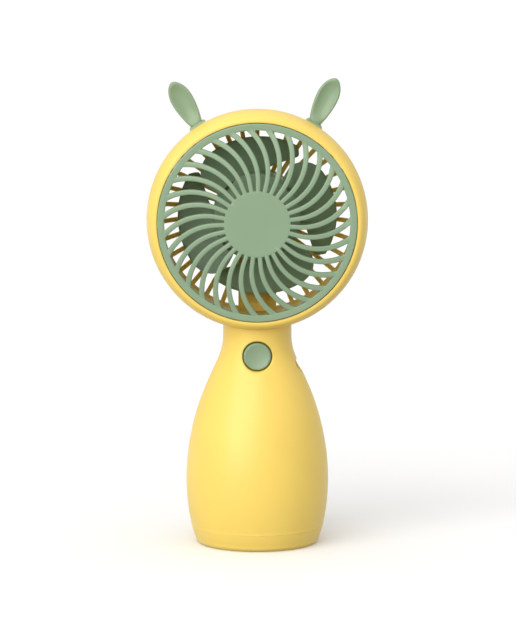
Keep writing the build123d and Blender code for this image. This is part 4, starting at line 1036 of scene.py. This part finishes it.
def build_floor():
    """Plain flat pale floor."""
    reach = 12.0
    mesh = bpy.data.meshes.new("floor")
    corners = [(-reach, -reach, 0), (reach, -reach, 0), (reach, reach, 0), (-reach, reach, 0)]
    mesh.from_pydata(corners, [], [(0, 1, 2, 3)])
    floor = bpy.data.objects.new("floor", mesh)
    bpy.context.scene.collection.objects.link(floor)
    floor.location.z = BASE_Z - 0.0001
    material, nodes, links = nodes_of("floor_pale")
    shader = nodes["Principled BSDF"]
    place = nodes.new("ShaderNodeTexCoord").outputs["Object"]
    cloud = spread(nodes, links, noise(nodes, links, place, 3.0, 2.0), 0.0, 1.0)
    links.new(blend_colours(nodes, links, cloud, (0.90, 0.90, 0.90, 1), (0.93, 0.93, 0.93, 1)),
              shader.inputs["Base Color"])
    shader.inputs["Roughness"].default_value = 0.9
    mesh.materials.append(material)
    floor.visible_diffuse = False


def area_light(name, place, target, size, power):
    lamp = bpy.data.lights.new(name, "AREA")
    lamp.energy = power
    lamp.size = size
    light = bpy.data.objects.new(name, lamp)
    bpy.context.scene.collection.objects.link(light)
    light.location = place
    light.rotation_euler = (Vector(target) - Vector(place)).to_track_quat("-Z", "Y").to_euler()


def build_light():
    world = bpy.data.worlds.new("soft_room")
    bpy.context.scene.world = world
    world.use_nodes = True
    nodes, links = world.node_tree.nodes, world.node_tree.links
    direction = nodes.new("ShaderNodeTexCoord").outputs["Generated"]
    split = nodes.new("ShaderNodeSeparateXYZ")
    links.new(direction, split.inputs["Vector"])
    level = spread(nodes, links, split.outputs["Z"], 0.38, 0.92, -0.35, 0.75)
    nodes["Background"].inputs["Color"].default_value = (1, 1, 1, 1)
    links.new(level, nodes["Background"].inputs["Strength"])
    middle = (0, 0, HEAD_Z * 0.8)
    sun = bpy.data.lights.new("key", "SUN")
    sun.energy = 1.85
    sun.angle = math.radians(60)
    sun.color = (1.0, 0.99, 0.97)
    key = bpy.data.objects.new("key", sun)
    bpy.context.scene.collection.objects.link(key)
    key.rotation_euler = Vector((0.47, 0.85, -0.55)).to_track_quat("-Z", "Y").to_euler()
    area_light("side_strip", (-0.55, -0.7, 0.25), middle, 0.35, 0.8)


def build_camera():
    """Long lens in front, a little above, as the object is usually pictured."""
    distance = 2.0
    elevation = math.radians(8.6)
    field = 0.2167
    aim = Vector((0.0003, 0.0, 0.0943))
    data = bpy.data.cameras.new("camera")
    data.sensor_fit = "HORIZONTAL"
    data.sensor_width = 36.0
    data.lens = 36.0 * distance / field
    data.clip_end = 20.0
    camera = bpy.data.objects.new("camera", data)
    bpy.context.scene.collection.objects.link(camera)
    camera.location = aim + distance * Vector((0, -math.cos(elevation), math.sin(elevation)))
    camera.rotation_euler = (aim - camera.location).to_track_quat("-Z", "Y").to_euler()
    bpy.context.scene.camera = camera


dress_cad_nodes()
build_camera()
build_light()
build_floor()
build_front_casing()
build_rear_casing()
build_base_cap()
build_front_grille()
build_impeller()
build_ear("ear_blade_left", -1, "ear_left")
build_ear("ear_blade_right", 1, "ear_right")
build_button()
bpy.context.scene.view_settings.view_transform = "Standard"
